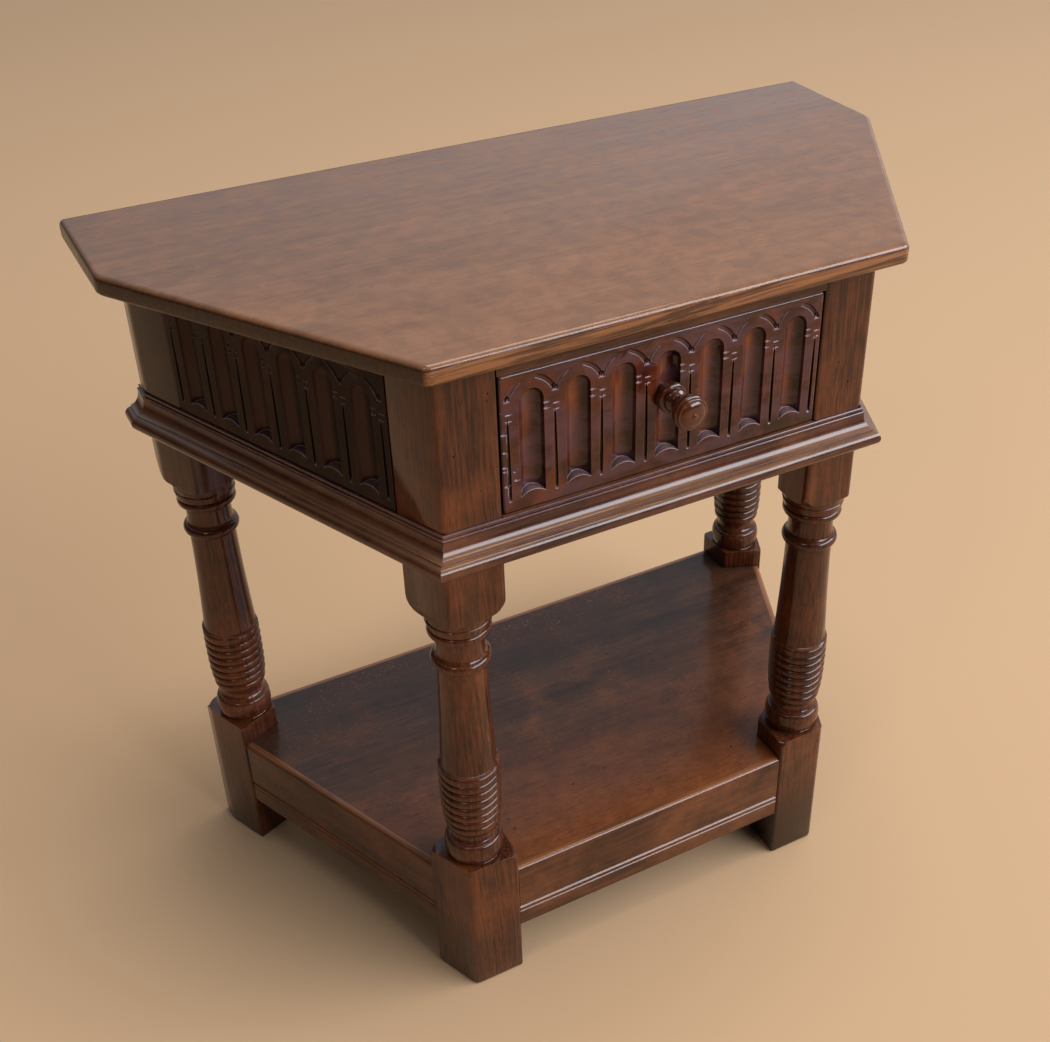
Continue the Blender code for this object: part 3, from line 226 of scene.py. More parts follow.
def add_block(name: str, low: Vector, high: Vector) -> Piece:
    """Add a block between its lowest and its highest corner."""
    clear_selection()
    bpy.ops.mesh.primitive_cube_add(size=1.0, location=(low + high) / 2)
    return take_new(name, high - low)


def settle(piece: Piece) -> None:
    """Apply a piece's place, turn and scale to its mesh."""
    pick(piece)
    bpy.ops.object.transform_apply(location=True, rotation=True, scale=True)


def place(piece: Piece, matrix: Matrix) -> None:
    """Move a piece by a matrix, such as from its own axes to the table's, and settle it there."""
    piece.matrix_world = matrix @ piece.matrix_world
    settle(piece)


def slice_off(piece: Piece, point: Vector, outward: Vector) -> None:
    """Saw a piece along a plane and close the cut.

    Args:
        piece: The object to cut.
        point: A point on the cut.
        outward: Normal of the cut, towards what falls away.
    """
    edit_all(piece)
    bpy.ops.mesh.bisect(
        plane_co=point, plane_no=outward, use_fill=True, clear_inner=False, clear_outer=True, threshold=CUT_EDGE
    )
    close_edit()


def copy_piece(piece: Piece, name: str, matrix: Matrix | None = None) -> Piece:
    """Copy a piece with its own mesh.

    Args:
        piece: The object to copy.
        name: Name of the copy.
        matrix: Where the copy goes, or None to stay.

    Returns:
        The copy, settled at the origin.
    """
    copy = piece.copy()
    copy.data = piece.data.copy()
    copy.name = name
    copy.data.name = name
    bpy.context.scene.collection.objects.link(copy)
    if matrix is not None:
        place(copy, matrix)
    return copy


def join_pieces(pieces: Sequence[Piece], name: str) -> Piece:
    """Join several pieces into one object.

    Args:
        pieces: The objects to join.
        name: Name of the result.

    Returns:
        The joined object.
    """
    clear_selection()
    for piece in pieces:
        piece.select_set(True)
    bpy.context.view_layer.objects.active = pieces[0]
    bpy.ops.object.join()
    pieces[0].name = name
    return pieces[0]


def apply_boolean(piece: Piece, tool: Piece, operation: str, crossing: bool = False) -> None:
    """Combine a piece with a tool by an exact Boolean and throw the tool away.

    Args:
        piece: The object that stays.
        tool: The object that cuts or adds.
        operation: DIFFERENCE, INTERSECT or UNION.
        crossing: Whether the tool's own parts cross one another.
    """
    pick(piece)
    step = piece.modifiers.new(tool.name, "BOOLEAN")
    step.operation = operation
    step.object = tool
    step.solver = "EXACT"
    step.use_self = crossing
    bpy.ops.object.modifier_apply(modifier=step.name)
    bpy.data.objects.remove(tool)


def smooth(piece: Piece, degrees: float = SMOOTH_DEGREES) -> None:
    """Shade a piece smooth, but leave edges above an angle sharp."""
    pick(piece)
    bpy.ops.object.shade_smooth_by_angle(angle=math.radians(degrees))


def arc_points(centre: Vector, radius: float, start: float, end: float, steps: int) -> list[Vector]:
    """Points on an arc between two angles in degrees, in a plane of two coordinates, ends included."""
    angles = [math.radians(start + (end - start) * step / steps) for step in range(steps + 1)]
    return [centre + radius * Vector((math.cos(angle), math.sin(angle))) for angle in angles]


# Finishes
@dataclass(frozen=True)
class Pattern:
    """A fractal pattern: repeats per metre along each axis, octaves and strength of the finer ones."""

    rate: Triple
    octaves: float = 4.0
    strength: float = 0.6


WANDER = Pattern((3.0, 10.0, 10.0), 2.0, 0.55)
PORES = Pattern((55.0, 1100.0, 1100.0), 2.0, 0.5)
BANDS = Pattern((2.2, 26.0, 26.0))
MOTTLE = Pattern((60.0, 60.0, 60.0))
CLOUDS = Pattern((14.0, 38.0, 38.0))
FLECKS = Pattern((330.0, 330.0, 330.0), 3.0)
PLANE_MARKS = Pattern((16.0, 55.0, 55.0), 3.0, 0.5)
SPECK_RATE = (75.0, 75.0, 75.0)
DRIFT = (0.0, 0.016, 0.016)
FIBRE_TILT = math.radians(1.4)

# Places in metres between which a colour comes in
WORN_FRONT = (0.12, -0.14)
DARK_BACK = (0.10, 0.26)
RAGGED_EDGE = 0.12
FOOT_SHADE = (0.16, 0.03)
HEAD_SHADE = (0.46, 0.54)
# Depth and level of the painted light and shade in the flutes
PAINTED_LIGHT_DEPTH = (0.0035, 0.0070)
PAINTED_LIGHT_LEVEL = (0.577, 0.622)
LEDGE_FADE = 0.002

# Heights of the grain's and the plane's relief in metres
GRAIN_RELIEF = 0.00012
PLANE_RELIEF = 0.0012
WAX_IOR = 1.5


class NodeBench:
    """Puts nodes into one material or world and links them."""

    def __init__(self, owner: bpy.types.ID) -> None:
        """Start with the owner's node tree, emptied."""
        owner.use_nodes = True
        self.owner = owner
        self.tree = owner.node_tree
        self.tree.nodes.clear()

    def add(self, kind: str, inputs: dict | None = None, **settings: object) -> bpy.types.Node:
        """Add a node, set its options and fill or link its inputs.

        Args:
            kind: The node's type, without its leading ShaderNode.
            inputs: Input name or number to a value or to another node's output.
            settings: The node's own options.

        Returns:
            The new node.
        """
        node = self.tree.nodes.new("ShaderNode" + kind)
        for key, value in settings.items():
            setattr(node, key, value)
        for key, value in (inputs or {}).items():
            if isinstance(value, Socket):
                self.tree.links.new(value, node.inputs[key])
            else:
                node.inputs[key].default_value = value
        return node

    def sum(self, kind: str, *values: object) -> Socket:
        """Work out one step of arithmetic, such as MULTIPLY, on values or sockets."""
        return self.add("Math", dict(enumerate(values)), operation=kind).outputs[0]

    def times(self, first: object, *others: object) -> Socket:
        """Multiply values or sockets."""
        for other in others:
            first = self.sum("MULTIPLY", first, other)
        return first

    def plus(self, first: object, *others: object) -> Socket:
        """Add values or sockets."""
        for other in others:
            first = self.sum("ADD", first, other)
        return first

    def axes(self, vector: Socket) -> bpy.types.NodeOutputs:
        """A vector's parts along X, Y and Z."""
        return self.add("SeparateXYZ", {0: vector}).outputs

    def vector(self, kind: str, first: object, second: object) -> bpy.types.NodeOutputs:
        """Outputs of one step of arithmetic on vectors."""
        return self.add("VectorMath", {0: first, 1: second}, operation=kind).outputs

    def mix(self, share: object, first: object, second: object, blend: str = "MIX") -> Socket:
        """Mix a share of a second colour into a first one, each three numbers or a socket."""
        first, second = (tone if isinstance(tone, Socket) else (*tone, 1.0) for tone in (first, second))
        return self.add("Mix", {0: share, 6: first, 7: second}, data_type="RGBA", blend_type=blend).outputs[2]

    def remap(self, value: object, low: float, high: float, start: float = 0.0, end: float = 1.0) -> Socket:
        """Stretch a value smoothly from the range low to high to the range start to end, and clamp it."""
        inputs = {"Value": value, "From Min": low, "From Max": high, "To Min": start, "To Max": end}
        return self.add("MapRange", inputs, interpolation_type="SMOOTHSTEP").outputs["Result"]

    def noise(self, vector: Socket, pattern: Pattern, output: str = "Fac") -> Socket:
        """Lay a fractal pattern over coordinates.

        Args:
            vector: The coordinates.
            pattern: The pattern.
            output: Fac for one value or Color for three.

        Returns:
            The pattern's socket.
        """
        scaled = self.vector("MULTIPLY", vector, pattern.rate)[0]
        inputs = {"Vector": scaled, "Scale": 1.0, "Detail": pattern.octaves, "Roughness": pattern.strength}
        return self.add("TexNoise", inputs).outputs[output]


@dataclass(frozen=True)
class Figure:
    """Patterns and directions of one board that its colour, gloss and relief share."""

    spot: Socket
    fibres: Socket
    line: Socket
    rings: Socket
    fibre: Socket
    streak: Socket
    pores: Socket
    band: Socket
    patch: Socket
    mottle: Socket
    normal: Socket
    arris: Socket
    place: bpy.types.NodeOutputs
    facing: bpy.types.NodeOutputs


@dataclass(frozen=True)
class OakFinish:
    """One oak finish: stain, wax, wear and the relief of the grain.

    Colours are linear. Widths are in metres.
    """

    name: str
    deep: Triple
    body: Triple
    worn: Triple
    grime_and_hollow_shade: Triple = (0.006, 0.004, 0.0035)
    ring_width: float = 0.0045
    ring_share: float = 0.35
    fibre_share: float = 0.40
    fibre_rate: Triple = (7.0, 150.0, 150.0)
    fibre_edge: float = 0.12
    patch_share: float = 0.45
    patch_rate: Triple = (7.0, 7.0, 7.0)
    pore_share: float = 0.55
    speck_share: float = 0.0
    wear: float = 0.55
    wear_width: float = 0.0022
    # Darkening in hollows: grime and wax, and painted shade
    crevice: float = 0.75
    crevice_reach: float = 0.006
    arris: float = 0.0006
    gloss: float = 0.34
    gloss_spread: float = 0.14
    base_gloss: float = 0.12
    edge_gloss: float = 0.0
    wax: float = 0.42
    wax_gloss: float = 0.12
    relief: float = 0.35
    hand_relief: float = 0.35
    worn_front_dark_back: float = 0.0
    foot_dark: float = 0.0
    painted_head_shade: float = 0.0
    side_share: float = 0.0
    side: Triple = (0.05, 0.018, 0.009)
    end_grain: Triple = (0.010, 0.0034, 0.0020)
    # Up-facing ledge colour: wear on the rails, a painted highlight in the moulding's lower hollow and a painted
    # reflection on the carved ledges
    ledge_wear_and_light_share: float = 0.0
    ledge: Triple = (0.30, 0.15, 0.06)
    ledge_below: float = 1.0
    # Painted sheen: a cool lilac reflection laid on in clouds
    painted_sheen_share: float = 0.0
    painted_sheen: Triple = (0.082, 0.033, 0.042)
    fleck_share: float = 0.0
    # Painted light on flute walls turned towards +X, painted shade on walls turned towards -X
    painted_flute_light_share: float = 0.0
    # Painted light: faces turned towards the front take the lighter turned colour
    painted_front_light_share: float = 0.0
    turned: Triple = (0.075, 0.036, 0.028)
    # Painted highlight on rounded lips that face up
    painted_lip_highlight_share: float = 0.0
    lip: Triple = (0.50, 0.40, 0.50)

    def figure(self, bench: NodeBench, grain: Grain, heading: float, shift: int) -> Figure:
        """Lay out the patterns of one board.

        Args:
            bench: The material's nodes.
            grain: Which way the fibres run.
            heading: Angle of the piece's length from +X, in radians.
            shift: Number that moves the pattern so that no two boards are alike.

        Returns:
            The board's patterns.
        """
        spot = bench.add("TexCoord").outputs["Object"]
        turned = bench.add("Mapping", {"Vector": spot, "Rotation": (0.0, 0.0, -heading)}).outputs[0]
        angles = {
            Grain.ALONG: (0.0, FIBRE_TILT, FIBRE_TILT),
            Grain.UPRIGHT: (0.0, QUARTER_TURN + FIBRE_TILT, FIBRE_TILT),
            Grain.ACROSS: (FIBRE_TILT, 0.0, -QUARTER_TURN + FIBRE_TILT),
        }[grain]
        offset = (0.37 * shift, 0.061 + 0.113 * math.sin(shift * 2.1), -0.115 - 0.05 * math.cos(shift * 1.7))
        fibres = bench.add("Mapping", {"Vector": turned, "Rotation": angles, "Location": offset}).outputs[0]
        drift = bench.vector("MULTIPLY", bench.noise(fibres, WANDER, "Color"), DRIFT)[0]
        line = bench.vector("ADD", fibres, drift)[0]
        waves = {"Vector": line, "Scale": FULL_TURN / (20.0 * self.ring_width), "Distortion": 2.5}
        waves |= {"Detail": 3.0, "Detail Scale": 0.6, "Detail Roughness": 0.6}
        rings = bench.add("TexWave", waves, wave_type="RINGS", rings_direction="X", wave_profile="SIN")
        fibre = bench.noise(line, Pattern(self.fibre_rate, 6.0, 0.66))
        normal = bench.add("NewGeometry").outputs["Normal"]
        return Figure(
            spot=spot,
            fibres=fibres,
            line=line,
            rings=rings.outputs["Fac"],
            fibre=fibre,
            streak=bench.remap(fibre, 0.5 - self.fibre_edge, 0.5 + self.fibre_edge),
            pores=bench.remap(bench.noise(line, PORES), 0.57, 0.68),
            band=bench.noise(line, BANDS),
            patch=bench.noise(spot, Pattern(self.patch_rate, 5.0, 0.62)),
            mottle=bench.noise(spot, MOTTLE),
            normal=normal,
            arris=bench.add("Bevel", {"Radius": self.arris}, samples=4).outputs[0],
            place=bench.axes(spot),
            facing=bench.axes(normal),
        )

    def stain(self, bench: NodeBench, figure: Figure) -> Socket:
        """Colour of the stained wood: rings, fibres, patches, pores, a worn front and darker back, a darker foot and
        painted shade on a post's head.

        Args:
            bench: The material's nodes.
            figure: The board's patterns.

        Returns:
            The colour's socket.
        """
        bands = bench.times(bench.remap(figure.band, 0.3, 0.7), 1.0 - self.fibre_share - self.ring_share)
        rings = bench.times(figure.rings, self.ring_share)
        tone = bench.plus(bench.times(figure.streak, self.fibre_share), rings, bands)
        colour = bench.mix(tone, self.deep, self.body)
        colour = bench.mix(bench.times(bench.remap(figure.patch, 0.46, 0.66), self.patch_share), colour, self.worn)
        colour = bench.mix(bench.remap(figure.patch, 0.46, 0.30, 0.0, self.patch_share), colour, self.deep)
        # Worn towards the front, darker towards the back
        if self.worn_front_dark_back > 0.0:
            ragged = bench.plus(figure.place["Y"], bench.times(bench.remap(figure.patch, 0.3, 0.7), RAGGED_EDGE))
            colour = bench.mix(bench.remap(ragged, *WORN_FRONT, 0.0, self.worn_front_dark_back), colour, self.worn)
            colour = bench.mix(bench.remap(ragged, *DARK_BACK, 0.0, self.worn_front_dark_back), colour, self.deep)
        # Darker towards the foot; painted shade on a post's head
        for share, levels in ((self.foot_dark, FOOT_SHADE), (self.painted_head_shade, HEAD_SHADE)):
            if share > 0.0:
                colour = bench.mix(bench.remap(figure.place["Z"], *levels, 0.0, share), colour, self.deep)
        colour = bench.mix(bench.times(figure.pores, self.pore_share), colour, self.grime_and_hollow_shade)
        fine = bench.remap(figure.mottle, 0.3, 0.7, 0.86, 1.14)
        tint = bench.add("CombineColor", {0: fine, 1: fine, 2: fine}).outputs[0]
        return bench.mix(1.0, colour, tint, "MULTIPLY")

    def dress_faces(self, bench: NodeBench, figure: Figure, colour: Socket) -> Socket:
        """Lay on what depends on a face's place and direction: end grain, painted light and shade in the flutes,
        painted light on front-facing panel faces, a painted sheen, flecks, and ledge colour that is partly wear and
        partly painted light.

        Args:
            bench: The material's nodes.
            figure: The board's patterns.
            colour: The colour so far.

        Returns:
            The new colour's socket.
        """
        place, facing, patch = figure.place, figure.facing, figure.patch
        if self.side_share > 0.0:
            edge = bench.mix(bench.remap(figure.fibre, 0.44, 0.60), self.side, self.worn)
            ends = bench.remap(bench.sum("ABSOLUTE", facing["X"]), 0.35, 0.80, 0.0, 0.9)
            edge = bench.mix(ends, edge, self.end_grain)
            colour = bench.mix(bench.remap(facing["Z"], 0.75, 0.25, 0.0, self.side_share), colour, edge)
        # Painted light and shade in the flutes: walls turned towards +X take the worn colour as painted light, walls
        # turned towards -X take the deep colour as painted shade
        if self.painted_flute_light_share > 0.0:
            painted_flute_light = bench.times(
                bench.remap(place["Y"], *(PLAN.front + depth for depth in PAINTED_LIGHT_DEPTH)),
                bench.remap(facing["X"], -0.34, 0.10, 0.0, self.painted_flute_light_share),
                bench.remap(place["Z"], *PAINTED_LIGHT_LEVEL, 0.25, 1.0),
                bench.remap(patch, 0.34, 0.60, 0.15, 1.0),
            )
            colour = bench.mix(painted_flute_light, colour, self.worn)
            colour = bench.mix(bench.remap(facing["X"], -0.12, -0.60, 0.0, 0.85), colour, self.deep)
        # Painted light on faces turned towards the front
        if self.painted_front_light_share > 0.0:
            colour = bench.mix(bench.remap(facing["Y"], -0.42, -0.72, 0.0, self.painted_front_light_share), colour, self.turned)
        # Painted sheen: a cool lilac reflection laid on in clouds
        if self.painted_sheen_share > 0.0:
            painted_sheen_cloud = bench.remap(bench.noise(figure.fibres, CLOUDS), 0.44, 0.58, 0.0, self.painted_sheen_share)
            colour = bench.mix(painted_sheen_cloud, colour, self.painted_sheen)
        if self.fleck_share > 0.0:
            fleck = bench.remap(bench.noise(figure.spot, FLECKS), 0.58, 0.70)
            flecks = bench.times(fleck, self.fleck_share, bench.remap(patch, 0.42, 0.60))
            colour = bench.mix(flecks, colour, self.ledge)
        # Up-facing faces take the ledge colour: wear on the rails, a painted highlight in the moulding's lower hollow
        # and a painted reflection on the carved ledges
        if self.ledge_wear_and_light_share > 0.0:
            ledge = bench.times(
                bench.remap(facing["Z"], 0.35, 0.85),
                self.ledge_wear_and_light_share,
                bench.remap(figure.fibre, 0.36, 0.54, 0.45, 1.0),
                bench.remap(place["Z"], self.ledge_below + LEDGE_FADE, self.ledge_below),
            )
            colour = bench.mix(ledge, colour, self.ledge)
        return colour

    def wear_down(self, bench: NodeBench, figure: Figure, colour: Socket, hollow: Socket, sky: Socket) -> Socket:
        """Rub the corners, darken the hollows with grime and painted shade, paint highlights on the upward lips and add
        the worm holes.

        Args:
            bench: The material's nodes.
            figure: The board's patterns.
            colour: The colour so far.
            hollow: How deep a spot lies in a hollow.
            sky: How open a spot lies.

        Returns:
            The new colour's socket.
        """
        rounded = bench.add("Bevel", {"Radius": self.wear_width}, samples=6).outputs[0]
        rubbed = bench.times(
            bench.remap(bench.vector("DOT_PRODUCT", figure.normal, rounded)["Value"], 0.995, 0.90),
            bench.remap(sky, 0.55, 0.95),
            bench.remap(figure.mottle, 0.36, 0.56, 0.35, 1.0),
            self.wear,
        )
        colour = bench.mix(rubbed, colour, self.worn)
        # Hollows darken to the grime colour: grime and wax, and painted shade
        colour = bench.mix(hollow, colour, self.grime_and_hollow_shade)
        # Painted highlight: a pale lilac line on rounded lips that face up
        if self.painted_lip_highlight_share > 0.0:
            bend = bench.remap(bench.vector("DOT_PRODUCT", figure.normal, figure.arris)["Value"], 0.998, 0.95)
            upward = bench.remap(bench.axes(figure.arris)["Z"], 0.12, 0.32, 0.0, self.painted_lip_highlight_share)
            colour = bench.mix(bench.times(bend, upward), colour, self.lip)
        if self.speck_share > 0.0:
            scaled = bench.vector("MULTIPLY", figure.spot, SPECK_RATE)[0]
            cells = bench.add("TexVoronoi", {"Vector": scaled, "Scale": 1.0}, feature="F1").outputs
            chance = bench.add("SeparateColor", {0: cells["Color"]}).outputs[0]
            picked = bench.remap(chance, 1.0 - self.speck_share, 1.0 - self.speck_share + 0.01)
            holes = bench.times(bench.remap(cells["Distance"], 0.16, 0.08), picked, 0.75)
            colour = bench.mix(holes, colour, self.grime_and_hollow_shade)
        return colour

    def roughness(self, bench: NodeBench, figure: Figure, hollow: Socket) -> Socket:
        """Roughness of the waxed wood: duller in pores and hollows, glossier on a rounded edge.

        Args:
            bench: The material's nodes.
            figure: The board's patterns.
            hollow: How deep a spot lies in a hollow.

        Returns:
            The roughness's socket.
        """
        rough = bench.remap(figure.mottle, 0.25, 0.75, self.gloss, self.gloss + self.gloss_spread)
        rough = bench.plus(rough, bench.times(figure.pores, 0.12), bench.times(hollow, 0.20))
        if self.edge_gloss > 0.0:
            upward = figure.facing["Z"]
            edge = bench.times(bench.remap(upward, 0.995, 0.95), bench.remap(upward, 0.10, 0.40))
            rubbed_smooth = bench.times(bench.sum("SUBTRACT", rough, self.edge_gloss), edge)
            rough = bench.sum("SUBTRACT", rough, rubbed_smooth)
        return rough

    def make(self, piece: str, grain: Grain, heading: float = 0.0, shift: int = 0) -> bpy.types.Material:
        """Make the finish for one piece.

        Args:
            piece: Name of the piece, for the material's name.
            grain: Which way its fibres run.
            heading: Angle of the piece's length from +X, in radians.
            shift: Number that moves the pattern so that no two boards are alike.

        Returns:
            The material.
        """
        bench = NodeBench(bpy.data.materials.new(f"{self.name}_{piece}"))
        figure = self.figure(bench, grain, heading, shift)
        # Ambient occlusion darkens the hollows, less on faces that look up: grime and painted shade
        sky = bench.add("AmbientOcclusion", {"Distance": self.crevice_reach}, samples=8).outputs["AO"]
        upward = bench.remap(figure.facing["Z"], 0.7, 0.2, 0.15, self.crevice)
        hollow = bench.times(bench.remap(sky, 0.80, 0.25), upward)
        colour = self.dress_faces(bench, figure, self.stain(bench, figure))
        grain_height = bench.sum("SUBTRACT", bench.times(figure.streak, 0.35), figure.pores)
        normal = figure.arris
        for height, distance, strength in (
            (grain_height, GRAIN_RELIEF, self.relief),
            (bench.noise(figure.line, PLANE_MARKS), PLANE_RELIEF, self.hand_relief),
        ):
            bump = {"Height": height, "Distance": distance, "Strength": strength, "Normal": normal}
            normal = bench.add("Bump", bump).outputs[0]
        shader = bench.add(
            "BsdfPrincipled",
            {
                "Base Color": self.wear_down(bench, figure, colour, hollow, sky),
                "Roughness": self.roughness(bench, figure, hollow),
                "Normal": normal,
                "IOR": WAX_IOR,
                "Specular IOR Level": self.base_gloss,
                "Coat Weight": self.wax,
                "Coat Roughness": self.wax_gloss,
                "Coat IOR": WAX_IOR,
            },
        )
        bench.add("OutputMaterial", {"Surface": shader.outputs[0]})
        return bench.owner


TOP_OAK = OakFinish(
    "oak_top",
    deep=(0.115, 0.053, 0.026),
    body=(0.178, 0.085, 0.045),
    worn=(0.265, 0.105, 0.040),
    worn_front_dark_back=0.25,
    ring_share=0.20,
    fibre_share=0.42,
    patch_share=0.30,
    wear=0.75,
    wear_width=0.005,
    gloss=0.28,
    base_gloss=0.30,
    wax=0.20,
    wax_gloss=0.16,
    edge_gloss=0.10,
    relief=0.20,
    hand_relief=0.18,
    fibre_rate=(3.6, 260.0, 260.0),
    fibre_edge=0.22,
    pore_share=0.22,
    arris=0.0002,
    side_share=0.85,
)
POST_OAK = OakFinish(
    "oak_posts",
    deep=(0.012, 0.0034, 0.0012),
    body=(0.108, 0.0262, 0.0090),
    worn=(0.210, 0.055, 0.014),
    ring_share=0.12,
    fibre_share=0.55,
    patch_share=0.40,
    gloss=0.30,
    base_gloss=0.05,
    wax=0.75,
    wax_gloss=0.13,
    arris=0.0009,
    hand_relief=0.20,
    fibre_rate=(13.0, 400.0, 400.0),
    fibre_edge=0.10,
    speck_share=0.05,
)
CARVED_OAK = OakFinish(
    "oak_carved",
    deep=(0.013, 0.0030, 0.0018),
    body=(0.066, 0.0125, 0.0060),
    worn=(0.170, 0.038, 0.010),
    ring_share=0.06,
    fibre_share=0.24,
    patch_share=0.45,
    patch_rate=(36.0, 36.0, 15.0),
    painted_flute_light_share=0.85,
    painted_lip_highlight_share=0.80,
    crevice=0.90,
    gloss=0.26,
    base_gloss=0.05,
    wax=0.80,
    wax_gloss=0.08,
    arris=0.0010,
    hand_relief=0.30,
    speck_share=0.02,
    ledge_wear_and_light_share=0.70,
    ledge=(0.170, 0.105, 0.098),
    painted_sheen_share=0.55,
)
# Painted shade: a much darker copy of the carved finish for the canted side panels, which stand in shade
SHADED_PANEL_OAK = replace(
    CARVED_OAK,
    deep=(0.004, 0.0014, 0.0009),
    body=(0.019, 0.0050, 0.0026),
    worn=(0.060, 0.015, 0.006),
    wax=0.15,
    painted_sheen_share=0.0,
    painted_flute_light_share=0.0,
    painted_lip_highlight_share=0.75,
    painted_front_light_share=0.85,
)
MOULDING_OAK = OakFinish(
    "oak_moulding",
    deep=(0.020, 0.0060, 0.0038),
    body=(0.080, 0.0200, 0.0105),
    worn=(0.180, 0.062, 0.026),
    gloss=0.24,
    base_gloss=0.05,
    wax=0.90,
    wax_gloss=0.16,
    arris=0.0003,
    hand_relief=0.20,
    ledge_wear_and_light_share=0.50,
    ledge=(0.270, 0.130, 0.058),
    ledge_below=0.5410,
    painted_lip_highlight_share=0.75,
)
RAIL_OAK = OakFinish(
    "oak_rails",
    deep=(0.022, 0.0065, 0.0028),
    body=(0.098, 0.0300, 0.0122),
    worn=(0.190, 0.060, 0.020),
    ring_share=0.25,
    fibre_share=0.50,
    gloss=0.26,
    wax=0.65,
    wax_gloss=0.14,
    fibre_rate=(9.0, 190.0, 190.0),
    ledge_wear_and_light_share=0.85,
    ledge=(0.210, 0.075, 0.024),
)
SHELF_OAK = OakFinish(
    "oak_shelf",
    deep=(0.014, 0.0060, 0.0035),
    body=(0.082, 0.0310, 0.0140),
    worn=(0.200, 0.0560, 0.0140),
    ring_share=0.12,
    fibre_share=0.25,
    patch_share=0.60,
    gloss=0.34,
    base_gloss=0.10,
    wax=0.40,
    wax_gloss=0.15,
    worn_front_dark_back=0.75,
    speck_share=0.08,
    fleck_share=0.45,
    ledge=(0.240, 0.085, 0.026),
)
KNOB_OAK = OakFinish(
    "oak_knob",
    deep=(0.022, 0.0050, 0.0022),
    body=(0.062, 0.0130, 0.0050),
    worn=(0.150, 0.035, 0.010),
    ring_share=0.1,
    fibre_share=0.2,
    gloss=0.18,
    base_gloss=0.10,
    wax=0.9,
    wax_gloss=0.06,
)
DRAWER_OAK = OakFinish(
    "oak_drawer_box",
    deep=(0.16, 0.092, 0.050),
    body=(0.27, 0.165, 0.095),
    worn=(0.32, 0.20, 0.12),
    grime_and_hollow_shade=(0.05, 0.03, 0.018),
    wear=0.3,
    crevice=0.5,
    gloss=0.55,
    base_gloss=0.4,
    wax=0.0,
)
INNER_OAK = replace(
    DRAWER_OAK,
    name="oak_inner",
    deep=(0.12, 0.066, 0.036),
    body=(0.20, 0.12, 0.07),
    worn=(0.25, 0.16, 0.10),
    grime_and_hollow_shade=(0.04, 0.024, 0.015),
    gloss=0.60,
)


# Plan of the frame
@dataclass(frozen=True)
class Side:
    """One straight side of the frame, walked anticlockwise. Its X runs along it and its Y inwards."""

    start: Vector
    end: Vector
    turn_start: float = 0.0
    turn_end: float = 0.0

    @property
    def length(self) -> float:
        """Length of the side."""
        return (self.end - self.start).length

    @property
    def heading(self) -> float:
        """Angle of the side from +X."""
        along = self.end - self.start
        return math.atan2(along.y, along.x)

    @property
    def matrix(self) -> Matrix:
        """The side's own axes in the table's."""
        return Matrix.Translation(self.start.to_3d()) @ Matrix.Rotation(self.heading, 4, "Z")

    def point(self, along: float, inward: float) -> Vector:
        """Plan point at a distance along the side and a distance into the table."""
        return (self.matrix @ Vector((along, inward, 0.0))).to_2d()


@dataclass(frozen=True)
class FramePlan:
    """Plan and levels that the pieces of the frame share."""

    front_half_width: float = 0.206
    back_half_width: float = 0.3515
    front: float = -0.169
    shoulder: float = 0.174
    back: float = 0.194
    frame_top: float = 0.7017
    drawer_seat: float = 0.5555
    frieze_bottom: float = 0.5235
    shelf_level: float = 0.1405
    front_post_face: float = 0.052
    front_post_depth: float = 0.045
    back_post_face: float = 0.050
    back_post_width: float = 0.062
    gap: float = 0.0003

    @property
    def sides(self) -> dict[str, Side]:
        """The six sides by name, with the angles that they turn through at their ends."""
        corners = {
            "left": Vector((-self.back_half_width, self.shoulder)),
            "front": Vector((-self.front_half_width, self.front)),
            "right": Vector((self.front_half_width, self.front)),
            "short_right": Vector((self.back_half_width, self.shoulder)),
            "back": Vector((self.back_half_width, self.back)),
            "short_left": Vector((-self.back_half_width, self.back)),
        }
        names = list(corners)
        after = names[1:] + names[:1]
        plain = [Side(corners[name], corners[follower]) for name, follower in zip(names, after)]
        sides = {}
        for index, name in enumerate(names):
            side = plain[index]
            turn_start = (side.heading - plain[index - 1].heading) % FULL_TURN
            turn_end = (plain[(index + 1) % len(plain)].heading - side.heading) % FULL_TURN
            sides[name] = Side(side.start, side.end, turn_start, turn_end)
        return sides

    def span(self, where: str) -> tuple[float, float]:
        """Start and end of the board between two posts, along one side.

        Args:
            where: Name of the side.

        Returns:
            The two distances along the side.
        """
        side = self.sides[where]
        near = {"front": self.front_post_face, "right": self.front_post_face, "left": self.back_post_face}
        far = {"front": self.front_post_face, "left": self.front_post_face, "right": self.back_post_face}
        first = near.get(where, self.back_post_width) + self.gap
        last = far.get(where, self.back_post_width) + self.gap
        return first, side.length - last


PLAN = FramePlan()


def stand_in(piece: Piece, nodes: Sequence[str], body: str) -> None:
    """Let a finished piece stand for its CAD nodes and report it.

    Args:
        piece: The finished piece.
        nodes: The nodes that it replaces.
        body: The body that it moves with.
    """
    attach(piece, body)
    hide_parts(*nodes)
    LOG.info("%s: %d faces, stands for %s", piece.name, len(piece.data.polygons), ", ".join(nodes))


def dress(piece: Piece, material: bpy.types.Material) -> None:
    """Give a piece one material."""
    piece.data.materials.clear()
    piece.data.materials.append(material)


def steps_down(level: float, rows: Sequence[tuple[float, float]]) -> Profile:
    """Corners of a profile below a level, from rows of (reach, drop) in millimetres."""
    return [(reach * MM, level - drop * MM) for reach, drop in rows]


